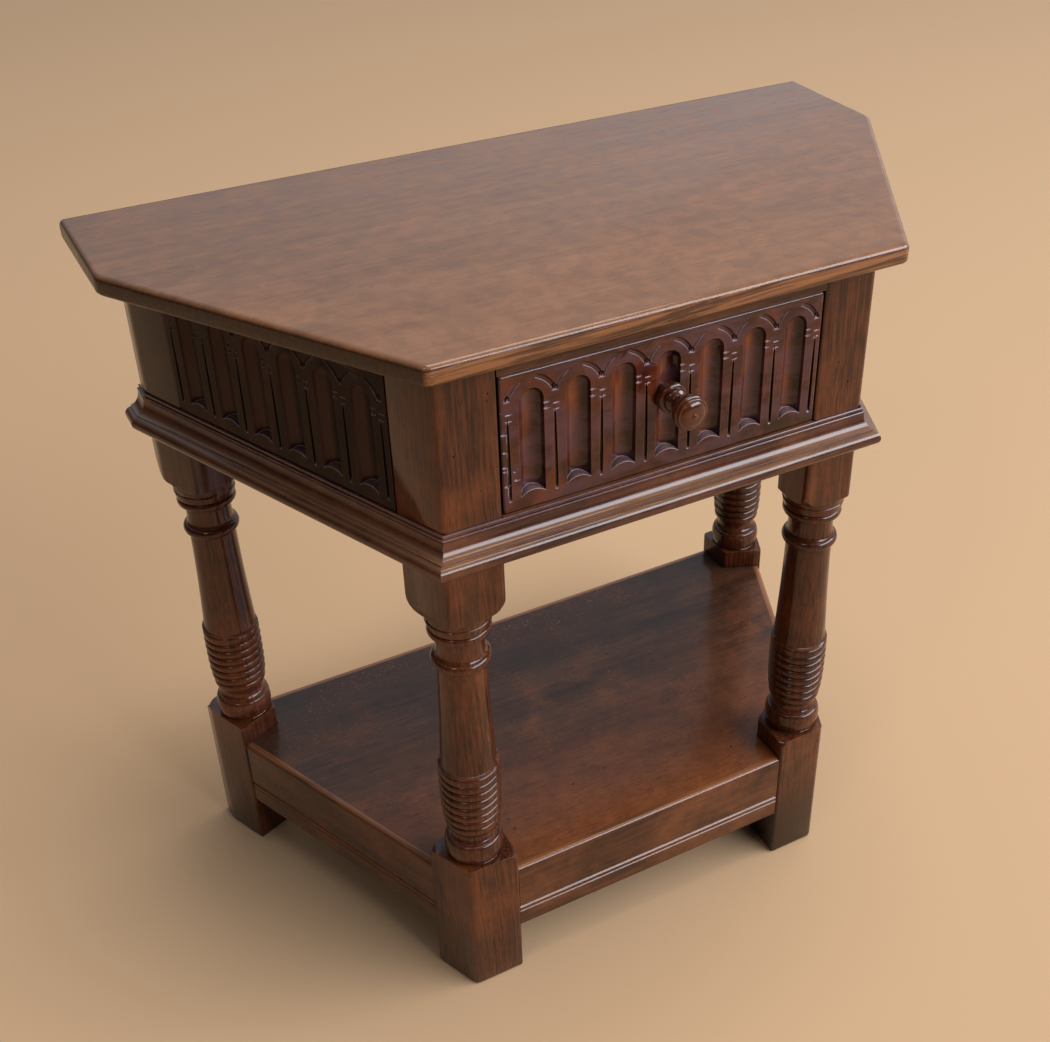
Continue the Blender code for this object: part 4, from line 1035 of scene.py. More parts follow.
# Turned posts, with the reach and drop of each corner of their turning in millimetres
OVOLO_STEPS = 10
LIPPED_BAND = (
    (30.4, 0.4), (30.0, 1.8), (29.7, 4.8), (29.1, 7.4), (28.5, 8.2), (28.7, 8.6), (29.4, 9.0), (29.5, 9.6),
    (29.1, 11.0), (28.7, 13.2), (28.4, 15.4), (27.9, 16.2), (26.2, 16.8), (25.9, 17.2),
)  # fmt: skip
NECK = (
    (23.2, 0.2), (22.0, 1.0), (21.7, 4.0), (21.6, 12.0), (21.8, 19.0), (22.2, 21.6), (23.3, 22.6), (23.6, 23.2),
    (23.2, 23.6),
)  # fmt: skip
SHAFT_HEAD = ((22.1, 0.4), (22.2, 2.0))
BAND_HEAD = ((26.2, -3.0), (26.4, -1.6), (27.2, -1.2), (28.3, -0.4), (28.5, 0.6), (27.6, 1.8), (27.4, 2.2))
LOWER_HOLLOW = ((24.0, 0.0), (23.6, 0.6), (22.4, 2.4), (21.6, 5.04), (21.4, 7.2), (21.9, 9.6))
LOWER_FILLET = ((23.3, -0.6), (24.1, 0.4), (24.2, 2.0), (23.8, 2.7))
BLOCK_HEAD = (
    (24.7, -0.6), (25.2, -0.1), (32.0, 0.1), (37.0, 0.4), (39.2, 1.3), (40.8, 3.0), (42.0, 5.4), (43.0, 8.5),
)  # fmt: skip


@dataclass
class TurnedPosts:
    """Four posts: five-sided blanks, turned between their square blocks."""

    upper_block_drop: float = 0.0495
    block_radius: float = 0.0430
    shoulder_radius: float = 0.0312
    clear_radius: float = 0.075
    block_round: float = 0.0095
    ovolo_height: float = 0.0155
    lipped_band: float = 0.0174
    ring: float = 0.0082
    neck: float = 0.0236
    astragal: float = 0.0101
    torus_gap: float = 0.0012
    torus: float = 0.0223
    fillet: float = 0.0030
    hollow: float = 0.0120
    shaft_steps: int = 12
    shaft_power: float = 1.25
    shaft_hollow: float = 0.0004
    reed_count: int = 7
    reed_pitch: float = 0.0094
    reed_radius: float = 0.0289
    reed_depth: float = 0.0034
    reed_taper: float = 0.0034
    reed_taper_power: int = 4
    band_height: float = 0.0107
    band_radius: float = 0.0284
    arris: float = 0.0022
    outer_arris: float = 0.0042
    foot_round: float = 0.0032
    front_inset: float = 0.030
    back_inset: float = 0.0290
    lower_block_rise: float = 0.0235
    dent_shape: Triple = (0.8, 1.2, 1.5)
    smooth_degrees: float = 42.0
    foot_dark: dict[str, float] = field(default_factory=lambda: {"front_right": 0.9})
    # Painted shade on the head of the back-left post
    painted_head_shade: dict[str, float] = field(default_factory=lambda: {"back_left": 0.85})
    dents: dict[str, tuple[Triple, ...]] = field(
        default_factory=lambda: {
            "front_left": (
                (-0.1619, 0.6713, 0.0011),
                (-0.1628, 0.6651, 0.0009),
                (-0.1932, 0.6244, 0.0012),
                (-0.1925, 0.6018, 0.0010),
                (-0.1722, 0.5862, 0.0008),
                (-0.1785, 0.0520, 0.0010),
            ),
            "front_right": ((0.1753, 0.6089, 0.0011), (0.1876, 0.5867, 0.0012), (0.1665, 0.6520, 0.0008)),
        }
    )

    def bead(self, top: float, height: float, foot: float, crest: float, steps: int = 9) -> Profile:
        """Half round bead of a given top level and height, between two quirks, as (radius, height)."""
        angles = [HALF_TURN * step / steps for step in range(steps + 1)]
        return [(foot + (crest - foot) * math.sin(turn), top - height * (1.0 - math.cos(turn)) / 2) for turn in angles]

    def upper_turning(self) -> Profile:
        """Ovolo under the square block, lipped band, ring, neck and astragal."""
        level = PLAN.frieze_bottom - self.upper_block_drop
        swell = self.block_radius - self.shoulder_radius
        angles = [QUARTER_TURN * step / OVOLO_STEPS for step in range(OVOLO_STEPS + 1)]
        points = [
            (self.shoulder_radius + swell * math.cos(turn), level - self.ovolo_height * math.sin(turn))
            for turn in angles
        ]
        level -= self.ovolo_height
        points += steps_down(level, LIPPED_BAND)
        level -= self.lipped_band
        points += self.bead(level, self.ring, 0.0256, 0.0284)
        level -= self.ring
        points += steps_down(level, NECK)
        level -= self.neck
        points += self.bead(level, self.astragal, 0.0228, 0.0269)
        return points + steps_down(level - self.astragal, SHAFT_HEAD)

    def lower_turning(self) -> Profile:
        """Band, reeds, hollow, fillet and torus, down to the square block."""
        block_top = PLAN.shelf_level + self.lower_block_rise
        torus_top = block_top + self.torus_gap + self.torus
        hollow_foot = torus_top + self.fillet
        reeds_foot = hollow_foot + self.hollow
        reeds_top = reeds_foot + self.reed_pitch * self.reed_count
        band_top = reeds_top + self.band_height
        points = steps_down(band_top, BAND_HEAD)
        points += self.bead(band_top - 0.0022, self.band_height - 0.0022, 0.0274, self.band_radius + 0.0003, 7)
        for index in range(self.reed_count):
            fall = (index + 0.5) / self.reed_count
            crest = self.reed_radius - self.reed_taper * fall**self.reed_taper_power
            groove = reeds_top - self.reed_pitch * index
            points.append((crest - self.reed_depth, groove - 0.0001))
            points += self.bead(groove, self.reed_pitch, crest - self.reed_depth, crest, 8)[1:-1]
        points += steps_down(reeds_foot, LOWER_HOLLOW)
        points += steps_down(hollow_foot, LOWER_FILLET)
        points += self.bead(torus_top, self.torus, 0.0246, 0.0283, 12)
        return [*points, *steps_down(block_top, BLOCK_HEAD), (self.clear_radius, block_top - self.block_round)]

    def profile(self) -> Profile:
        """The whole turning from above the post to below the floor."""
        upper, lower = self.upper_turning(), self.lower_turning()
        (top_radius, top), (foot_radius, foot) = upper[-1], lower[0]
        shaft = []
        for step in range(1, self.shaft_steps):
            share = step / self.shaft_steps
            swell = self.shaft_hollow * math.sin(HALF_TURN * share)
            radius = top_radius + (foot_radius - top_radius) * share**self.shaft_power - swell
            shaft.append((radius, top + (foot - top) * share))
        head = [(0.0, 0.72), (self.clear_radius, 0.72), (self.clear_radius, upper[0][1] + 0.0015)]
        return [*head, *upper, *shaft, *lower, (self.clear_radius, -0.01), (0.0, -0.01)]

    def blanks(self) -> dict[str, tuple[list[Vector], Vector]]:
        """Plan corners and lathe centre of each post, by the name of its place."""
        sides = PLAN.sides
        left, front, back = sides["left"], sides["front"], sides["back"]
        face, depth = PLAN.front_post_face, PLAN.front_post_depth
        front_left = [
            front.point(0.0, 0.0),
            front.point(face, 0.0),
            front.point(face, depth),
            left.point(left.length - face, depth),
            left.point(left.length - face, 0.0),
        ]
        edge = left.point(PLAN.back_post_face, 0.0)
        inner = -PLAN.back_half_width + PLAN.back_post_width
        inward = Vector((-math.sin(left.heading), math.cos(left.heading)))
        back_left = [
            left.start.copy(),
            edge,
            edge + inward * ((inner - edge.x) / inward.x),
            Vector((inner, PLAN.back)),
            Vector((-PLAN.back_half_width, PLAN.back)),
        ]
        found = {
            "front_left": (front_left, self.centre(left, front, self.front_inset)),
            "back_left": (back_left, self.centre(back, left, self.back_inset)),
        }
        for place_name in ("front", "back"):
            plan, centre = found[place_name + "_left"]
            mirrored = [Vector((-point.x, point.y)) for point in reversed(plan)]
            found[place_name + "_right"] = (mirrored, Vector((-centre.x, centre.y)))
        return found

    @staticmethod
    def centre(first: Side, second: Side, inset: float) -> Vector:
        """Plan point that lies the same distance inside two sides."""
        a, b = first.point(0.0, inset), second.point(0.0, inset)
        along_a = (first.end - first.start).normalized()
        along_b = (second.end - second.start).normalized()
        return a + along_a * ((b - a).cross(along_b) / along_a.cross(along_b))

    @staticmethod
    def outer(where: str) -> int:
        """Which plan corner of a post is its rounded outer one."""
        return 0 if where.endswith("left") else 4

    @staticmethod
    def near(point: Vector, corner: Vector) -> bool:
        """Whether a point stands on a corner of the plan."""
        return (point.to_2d() - corner).length < WELD

    def is_corner(self, point: Vector, plan: Sequence[Vector], but: int) -> bool:
        """Whether a point stands on one of the plan's corners, except one."""
        return any(self.near(point, corner) for index, corner in enumerate(plan) if index != but)

    def dent(self, post: Piece, spots: Sequence[Triple]) -> None:
        """Press small dents into a post's front face.

        Args:
            post: The post.
            spots: Place along X, level and radius of each dent.
        """
        marks = []
        for x, level, radius in spots:
            clear_selection()
            place_at = (x, PLAN.front - radius * 0.3, level)
            bpy.ops.mesh.primitive_ico_sphere_add(subdivisions=2, radius=radius, location=place_at)
            marks.append(take_new("dent", self.dent_shape))
        apply_boolean(post, join_pieces(marks, "dents"), "DIFFERENCE")

    def build(self) -> None:
        """Turn the four posts and let them stand for their nodes."""
        turning = turn_profile("post_turning", self.profile())
        for number, (where, (plan, centre)) in enumerate(self.blanks().items()):
            corners = [point.to_3d() for point in plan]
            post = extrude_outline("post_" + where, corners, Vector((0.0, 0.0, PLAN.frame_top)))
            outer = self.outer(where)
            low = self.arris
            round_edges(post, lambda a, b: abs(a.z - b.z) > low and self.near(a, plan[outer]), self.outer_arris, 4)
            round_edges(post, lambda a, b: abs(a.z - b.z) > low and self.is_corner(a, plan, outer), self.arris, 3)
            round_edges(post, lambda a, b: max(a.z, b.z) < low / 2, self.foot_round, 3)
            lathe = copy_piece(turning, "lathe_" + where, Matrix.Translation(centre.to_3d()))
            apply_boolean(post, lathe, "INTERSECT")
            if where in self.dents:
                self.dent(post, self.dents[where])
            smooth(post, self.smooth_degrees)
            shade = {"foot_dark": self.foot_dark.get(where, 0.0), "painted_head_shade": self.painted_head_shade.get(where, 0.0)}
            dress(post, replace(POST_OAK, **shade).make(where, Grain.UPRIGHT, 0.0, number + 1))
            stand_in(post, ["leg_" + where], "carcase")
        bpy.data.objects.remove(turning)


# Table top
@dataclass
class TableTop:
    """One thick board with rounded corners and a soft, worn edge."""

    height: float = 0.720
    thickness: float = 0.018
    front_overhang: float = 0.023
    back_overhang: float = 0.017
    side_overhang: float = 0.0375
    corner_overhang: float = 0.0135
    short_side: float = 0.1325
    corner_radius: float = 0.005
    upper_round: float = 0.0055
    lower_round: float = 0.0035

    def corners(self) -> list[Vector]:
        """Plan corners of the top."""
        front = PLAN.front - self.front_overhang
        back = PLAN.back + self.back_overhang
        half_front = PLAN.front_half_width + self.corner_overhang
        half_back = PLAN.back_half_width + self.side_overhang
        shoulder = back - self.short_side
        left = [Vector((-half_back, back)), Vector((-half_back, shoulder)), Vector((-half_front, front))]
        right = [Vector((-point.x, point.y)) for point in reversed(left)]
        return [*left[1:], *right, left[0]]

    def build(self) -> None:
        """Shape the board and let it stand for the top's node."""
        low = self.height - self.thickness
        corners = [Vector((point.x, point.y, low)) for point in self.corners()]
        board = extrude_outline("table_board", corners, Vector((0.0, 0.0, self.thickness)))
        round_edges(board, lambda a, b: abs(a.z - b.z) > self.thickness / 2, self.corner_radius, 5)
        round_edges(board, lambda a, b: min(a.z, b.z) > self.height - WELD, self.upper_round, 5)
        round_edges(board, lambda a, b: max(a.z, b.z) < low + WELD, self.lower_round, 3)
        smooth(board)
        dress(board, TOP_OAK.make("board", Grain.ALONG))
        stand_in(board, ["table_top"], "carcase")


# Carved boards
@dataclass
class Arcade:
    """Round-headed flutes with crescent feet, leaf cuts between the arches and long grooves."""

    flute_width: float = 0.0222
    flute_depth: float = 0.0078
    scoop: float = 1.05
    scoop_steps: int = 16
    spring: float = 0.6555
    foot: float = 0.5736
    foot_inner: float = 0.5748
    foot_corner: float = 0.5694
    arch_radius: float = 0.0206
    leaves: tuple[tuple[bool, float, float, float, float], ...] = (
        (False, 9.0, 84.0, 0.0042, 0.0022),
        (True, 9.0, 68.0, 0.0024, 0.0016),
    )
    notch: float = 0.6612
    notch_width: float = 0.0050
    notch_height: float = 0.0046
    notch_depth: float = 0.0022
    groove_low: float = 0.5675
    groove_high: float = 0.6450
    groove_width: float = 0.0030
    groove_depth: float = 0.0028
    groove_wobble: float = 0.0003
    groove_shares: tuple[tuple[float, float], ...] = (
        (0.0, 0.72), (0.03, 0.86), (0.30, 1.0), (0.65, 0.80), (0.92, 0.50), (1.0, 0.15),
    )  # fmt: skip
    undercut: Triple = (0.0, 1.4, -1.0)
    tick_levels: tuple[float, ...] = (0.6505, 0.6448)
    tick_sway: float = 0.0004
    tick_slope: float = 0.0005
    long_tick: tuple[float, float, float, float] = (-0.0102, -0.0048, 0.0017, 0.0013)
    short_tick: tuple[float, float, float, float] = (-0.0020, 0.0040, 0.0013, 0.0007)
    short_tick_drop: float = 0.0024
    stray_tick: tuple[float, float] = (0.0019, 0.0013)
    stray_cuts: tuple[Triple, ...] = ()
    overrun: float = 0.004

    def flute_tool(self) -> Piece:
        """Cutter of one flute, in axes whose Y runs into the wood, centred on X = 0."""
        half = self.flute_width / 2
        angles = [HALF_TURN * step / self.scoop_steps for step in range(self.scoop_steps + 1)]
        section = [(-half * math.cos(angle), self.flute_depth * math.sin(angle) ** self.scoop) for angle in angles]
        low = self.foot_corner - MM
        outline = [Vector((x, y, low)) for x, y in [*section, (half, -self.overrun), (-half, -self.overrun)]]
        # Measured from the rounded height, so that the stem ends exactly where the head begins
        stem = extrude_outline("flute_stem", outline, Vector((0.0, 0.0, self.spring - outline[0].z)))
        apply_boolean(stem, self.foot_tool(), "DIFFERENCE")
        right = [(0.0, -self.overrun), (half, -self.overrun), *reversed(section[self.scoop_steps // 2 :])]
        head = draw_chain("flute_head", [Vector((x, y, self.spring)) for x, y in right])
        edit_all(head)
        bpy.ops.mesh.spin(steps=24, angle=FULL_TURN, center=(0.0, 0.0, self.spring), axis=(0.0, 1.0, 0.0))
        close_edit()
        face_normals_out(head)
        apply_boolean(stem, head, "UNION")
        return stem

    def foot_tool(self) -> Piece:
        """Skew cone that leaves the crescent foot, its wall sloping from the face to the flute's floor."""
        half = self.flute_width / 2
        face_rise, floor_rise = self.foot - self.foot_corner, self.foot_inner - self.foot_corner
        face_radius, floor_radius = ((half**2 + rise**2) / (2 * rise) for rise in (face_rise, floor_rise))
        climb = (self.foot_inner - floor_radius) - (self.foot - face_radius)
        clear_selection()
        bpy.ops.mesh.primitive_cone_add(
            vertices=64,
            radius1=2 * face_radius - floor_radius,
            radius2=2 * floor_radius - face_radius,
            depth=2 * self.flute_depth + self.flute_depth,
            location=(0.0, self.flute_depth / 2, self.foot - face_radius - climb),
            rotation=(-QUARTER_TURN, 0.0, 0.0),
        )
        billet = take_new("flute_foot")
        edit_edges(billet, lambda a, b: min(a.y, b.y) > self.flute_depth)
        bpy.ops.transform.translate(value=(0.0, 0.0, 3 * climb))
        close_edit()
        return billet

    @staticmethod
    def stroke(start: Vector, end: Vector, width: float, depth: float) -> Piece:
        """One gouge stroke, pointed at both ends and deepest in the middle.

        Args:
            start: One end, as (x, z) on the board.
            end: The other end.
            width: Width at the middle.
            depth: Depth at the middle.

        Returns:
            The cutter.
        """
        clear_selection()
        bpy.ops.mesh.primitive_uv_sphere_add(segments=10, ring_count=8, radius=1.0)
        middle, along = (start + end) / 2, end - start
        bpy.context.object.rotation_euler = (0.0, math.atan2(along.x, along.y), 0.0)
        bpy.context.object.location = (middle.x, 0.0, middle.y)
        return take_new("stroke", (width / 2, depth, along.length / 2))

    def groove_tool(self, middle: float, wobble: float, drop: float) -> Piece:
        """Cutter of one long groove, narrow at the top and blunt at the foot.

        Args:
            middle: Middle of the groove along the board.
            wobble: How far its two ends stray to either side.
            drop: How much lower than the drawer's the carving sits.

        Returns:
            The cutter.
        """
        low, high = self.groove_low - drop, self.groove_high - drop
        width, depth = self.groove_width / 2, self.groove_depth
        outline = []
        for hand, shares in ((1.0, self.groove_shares), (-1.0, self.groove_shares[::-1])):
            for share, half in shares:
                x = middle + wobble * (1.0 - 2.0 * share) + hand * width * half
                outline.append(Vector((x, -self.overrun, low + (high - low) * share)))
        groove = extrude_outline("groove", outline, Vector((0.0, self.overrun + depth, 0.0)))
        round_edges(groove, lambda a, b: min(a.y, b.y) > depth / 2, width * 0.55, 2, clamp=True)
        slice_off(groove, Vector((0.0, 0.0, low)), Vector(self.undercut))
        return groove

    def leaf_tool(self, mirrored: bool, start: float, end: float, width: float, depth: float) -> Piece:
        """Curved gouge cut along one arch, pointed at both ends: a tilted ring that dips into the wood.

        Args:
            mirrored: Whether it lies left of the flute instead of right of it.
            start: Angle on the arch, in degrees, of its lower end.
            end: Angle of its upper end.
            width: Width at its middle.
            depth: Depth at its middle.

        Returns:
            The cutter.
        """
        tube = ((width / 2) ** 2 + depth**2) / (2 * depth)
        middle, half = math.radians((start + end) / 2), math.radians((end - start) / 2)
        tilt = math.asin(min(0.9, depth / (self.arch_radius * (1.0 - math.cos(half)))))
        outward = Vector((math.cos(middle), 0.0, math.sin(middle)))
        across = Vector((-math.sin(middle), 0.0, math.cos(middle)))
        dipped = outward * math.cos(tilt) + Vector((0.0, math.sin(tilt), 0.0))
        turn = Matrix((dipped, across, dipped.cross(across))).transposed()
        crest = outward * self.arch_radius + Vector((0.0, depth - tube, self.spring))
        clear_selection()
        bpy.ops.mesh.primitive_torus_add(
            major_segments=72,
            minor_segments=14,
            major_radius=self.arch_radius,
            minor_radius=tube,
            location=crest - dipped * self.arch_radius,
            rotation=turn.to_euler(),
        )
        ring = take_new("leaf")
        slice_off(ring, crest - outward * self.arch_radius / 2, -outward)
        if mirrored:
            place(ring, Matrix.Scale(-1.0, 4, Vector((1.0, 0.0, 0.0))))
            face_normals_out(ring)
        return ring

    def notch_tool(self) -> Piece:
        """Wedge that stabs the notch between two arches and leaves a ledge at its foot."""
        half, rise, foot = self.notch_width / 2, self.notch_height, self.notch - self.notch_depth
        corners = ((-half, foot), (half, foot), (half, self.notch), (0.0, self.notch + rise), (-half, self.notch))
        outline = [Vector((x, -self.overrun, z)) for x, z in corners]
        wedge = extrude_outline("notch", outline, Vector((0.0, self.overrun + self.notch_depth, 0.0)))
        slice_off(wedge, Vector((0.0, 0.0, self.notch + rise)), Vector((0.0, rise, self.notch_depth)))
        slice_off(wedge, Vector((0.0, 0.0, self.notch - self.notch_depth * 0.9)), Vector(self.undercut))
        return wedge

    @staticmethod
    def repeat(tool: Piece, name: str, places: Sequence[float], drop: float) -> list[Piece]:
        """Copy a cutter to places along the board and throw the first one away.

        Args:
            tool: The cutter, centred on X = 0.
            name: Name of the copies.
            places: Where they go along the board.
            drop: How much lower than the drawer's the carving sits.

        Returns:
            The copies.
        """
        copies = [copy_piece(tool, name, Matrix.Translation((x, 0.0, -drop))) for x in places]
        bpy.data.objects.remove(tool)
        return copies

    def cutters(self, centres: Sequence[float], drop: float) -> list[Piece]:
        """All the cutters of one board.

        Args:
            centres: Middles of the flutes along the board.
            drop: How much lower than the drawer's the carving sits.

        Returns:
            Flutes first, then the line work, each list joined to one object.
        """
        pitch = centres[1] - centres[0]
        flutes = self.repeat(self.flute_tool(), "flute", centres, drop)
        lines: list[Piece] = []
        stiles = [centres[0] - pitch / 2] + [x + pitch / 2 for x in centres]
        for number, x in enumerate(stiles):
            lines.append(self.groove_tool(x, self.groove_wobble * math.sin(number * 2.3), drop))
            for row, level in enumerate(self.tick_levels):
                sway = self.tick_sway * math.sin(number * 3.1 + row * 4.0)
                near, far, width, depth = self.long_tick
                start = Vector((x + near, level - drop + sway))
                end = Vector((x + far + sway, level - drop + sway + self.tick_slope))
                lines.append(self.stroke(start, end, width, depth))
                near, far, width, depth = self.short_tick
                start = Vector((x + near + sway, level - drop - self.short_tick_drop))
                end = Vector((x + far, level - drop - self.short_tick_drop + sway))
                lines.append(self.stroke(start, end, width, depth))
        for x, level, length in self.stray_cuts:
            start, end = Vector((x - length / 2, level - 0.0002)), Vector((x + length / 2, level + 0.0004))
            lines.append(self.stroke(start, end, *self.stray_tick))
        for leaf in self.leaves:
            lines += self.repeat(self.leaf_tool(*leaf), "leaf", centres, drop)
        lines += self.repeat(self.notch_tool(), "notch", stiles, drop)
        return [join_pieces(flutes, "flutes"), join_pieces(lines, "lines")]

    def carve(self, board: Piece, centres: Sequence[float], drop: float) -> None:
        """Cut the arcade into a board whose face lies at Y = 0.

        Args:
            board: The board, in its own axes.
            centres: Middles of the flutes along the board.
            drop: How much lower than the drawer's the carving sits.
        """
        flutes, lines = self.cutters(centres, drop)
        apply_boolean(board, flutes, "DIFFERENCE")
        apply_boolean(board, lines, "DIFFERENCE", crossing=True)


@dataclass
class DrawerFace:
    """Carved front of the drawer, with the sockets for its sides."""

    half_width: float = 0.1528
    thickness: float = 0.020
    height: float = 0.126
    level: float = 0.5565
    edge_round: float = 0.0025
    corner_round: float = 0.0032
    margin: float = 0.0065
    flutes: int = 7
    stray_cuts: tuple[Triple, ...] = (
        (-0.1497, 0.6312, 0.0058),
        (-0.1492, 0.6150, 0.0046),
        (-0.1494, 0.6012, 0.0056),
        (-0.1498, 0.5976, 0.0036),
        (-0.1480, 0.5832, 0.0060),
        (-0.1396, 0.5868, 0.0052),
        (-0.1415, 0.5950, 0.0018),
        (0.0452, 0.6280, 0.0030),
    )
    side_inner: float = 0.1438
    side_height: float = 0.125
    tail_count: int = 3
    tail_root: float = 0.0203
    lap: float = 0.0060
    pin_wide: float = 0.0120
    pin_narrow: float = 0.0060
    clearance: float = 0.0003

    def cut_sockets(self, board: Piece) -> None:
        """Cut the lapped sockets that take the dovetails of both drawer sides.

        Args:
            board: The drawer front, with its face at Y = 0.
        """
        pitch = self.side_height / self.tail_count
        run = self.tail_root - self.lap
        neck = (pitch - self.pin_wide) / 2 + self.clearance
        wide = neck + (self.pin_wide - self.pin_narrow) / 2 / run * (run + self.clearance)
        floor = self.lap - self.clearance
        near = self.side_inner - self.clearance
        corners = ((self.tail_root, -neck), (floor, -wide), (floor, wide), (self.tail_root, neck))
        for hand in (-1.0, 1.0):
            reach = hand * (self.half_width + self.thickness - near)
            for index in range(self.tail_count):
                middle = self.level + pitch * (index + 0.5)
                outline = [Vector((hand * near, y, middle + rise)) for y, rise in corners]
                tail = extrude_outline("tail", outline, Vector((reach, 0.0, 0.0)))
                apply_boolean(board, tail, "DIFFERENCE")

    def build(self) -> None:
        """Carve the front and let it stand for its node."""
        low = Vector((-self.half_width, 0.0, self.level))
        board = add_block("drawer_face", low, Vector((self.half_width, self.thickness, self.level + self.height)))
        round_edges(board, lambda a, b: abs(a.y - b.y) > self.thickness / 2, self.corner_round, 4)
        round_edges(board, lambda a, b: max(a.y, b.y) < self.edge_round, self.edge_round, 4)
        pitch = 2 * (self.half_width - self.margin) / self.flutes
        centres = [pitch * (index - (self.flutes - 1) / 2) for index in range(self.flutes)]
        Arcade(stray_cuts=self.stray_cuts).carve(board, centres, 0.0)
        self.cut_sockets(board)
        place(board, Matrix.Translation((0.0, PLAN.front, 0.0)))
        smooth(board)
        dress(board, CARVED_OAK.make("drawer_face", Grain.ALONG, 0.0, 3))
        stand_in(board, ["drawer_front"], "drawer")


@dataclass
class FriezePanels:
    """Carved boards of the two canted sides."""

    thickness: float = 0.020
    margin: float = 0.0070
    drop: float = 0.0025
    flutes: int = 6
    arcade: Arcade = field(default_factory=Arcade)

    def build(self) -> None:
        """Carve both boards and let them stand for their nodes."""
        for number, where in enumerate(("left", "right")):
            side = PLAN.sides[where]
            first, last = PLAN.span(where)
            low = Vector((first, 0.0, PLAN.frieze_bottom))
            board = add_block("frieze_panel_" + where, low, Vector((last, self.thickness, PLAN.frame_top)))
            pitch = (last - first - 2 * self.margin) / self.flutes
            start = first + self.margin + pitch / 2
            self.arcade.carve(board, [start + pitch * index for index in range(self.flutes)], self.drop)
            place(board, side.matrix)
            smooth(board)
            dress(board, SHADED_PANEL_OAK.make("panel_" + where, Grain.ALONG, side.heading, number + 5))
            stand_in(board, ["frieze_" + where], "carcase")


# Moulding and lower rails, with the reach and drop of each corner of their fillets in millimetres
FILLETS = (
    (1.4, 0.0), (2.0, 0.6), (2.0, 1.8), (1.3, 2.3), (1.3, 2.8), (2.2, 3.2), (3.2, 3.3), (3.7, 3.8), (3.7, 4.8),
    (3.4, 5.3),
)  # fmt: skip
UNDER_HOLLOW = ((0.1, 0.9), (-0.3, 1.3))
RAIL_GROOVE = ((0.0, 1.6), (0.4, 1.1), (1.4, 0.5), (1.6, 0.0), (1.4, -0.5), (0.4, -1.1), (0.0, -1.6))


@dataclass
class EdgeMoulding:
    """Moulding round the frieze: two fillets, a hollow and a round nose, mitred at its corners."""

    hollow_reach: float = 0.0125
    hollow_drop: float = 0.0190
    hollow_steps: int = 12
    nose_radius: float = 0.0068
    nose_reach: float = 0.0189
    nose_drop: float = 0.0275
    lengths: tuple[tuple[str, str, bool, bool], ...] = (
        ("front", "front", True, True),
        ("left", "left", True, True),
        ("right", "right", True, True),
        ("return_left", "short_left", False, True),
        ("return_right", "short_right", True, False),
    )

    def section(self) -> list[Vector]:
        """Outline as (projection, height), down the face and back up the wall."""
        top = PLAN.drawer_seat
        points = [Vector((PLAN.gap, top)), *map(Vector, steps_down(top, FILLETS))]
        start = points[-1].copy()
        reach, drop = self.hollow_reach - start.x, self.hollow_drop - (top - start.y)
        for step in range(1, self.hollow_steps + 1):
            angle = QUARTER_TURN * step / self.hollow_steps
            points.append(start + Vector((reach * (1.0 - math.cos(angle)), -drop * math.sin(angle))))
        level = top - self.hollow_drop
        points += [Vector((self.hollow_reach + out, height)) for out, height in steps_down(level, UNDER_HOLLOW)]
        centre = Vector((self.nose_reach - self.nose_radius, top - self.nose_drop))
        points += arc_points(centre, self.nose_radius, 84.0, -90.0, 16)
        return [*points, Vector((PLAN.gap, top - self.nose_drop - self.nose_radius))]

    def build(self) -> None:
        """Run the five lengths and mitre them."""
        for number, (name, where, *mitres) in enumerate(self.lengths):
            side = PLAN.sides[where]
            over = 2 * self.nose_reach
            outline = [Vector((-over, -point.x, point.y)) for point in self.section()]
            strip = extrude_outline("edge_moulding_" + name, outline, Vector((side.length + 2 * over, 0.0, 0.0)))
            ends = (
                (-1.0, PLAN.gap / 2, side.turn_start),
                (1.0, side.length - PLAN.gap / 2, side.turn_end),
            )
            for mitred, (hand, along, turn) in zip(mitres, ends):
                half = turn / 2 if mitred else 0.0
                slice_off(strip, Vector((along, 0.0, 0.0)), Vector((hand * math.cos(half), math.sin(half), 0.0)))
            place(strip, side.matrix)
            smooth(strip)
            dress(strip, MOULDING_OAK.make("strip_" + name, Grain.ALONG, side.heading, number + 8))
            stand_in(strip, ["moulding_" + name], "carcase")


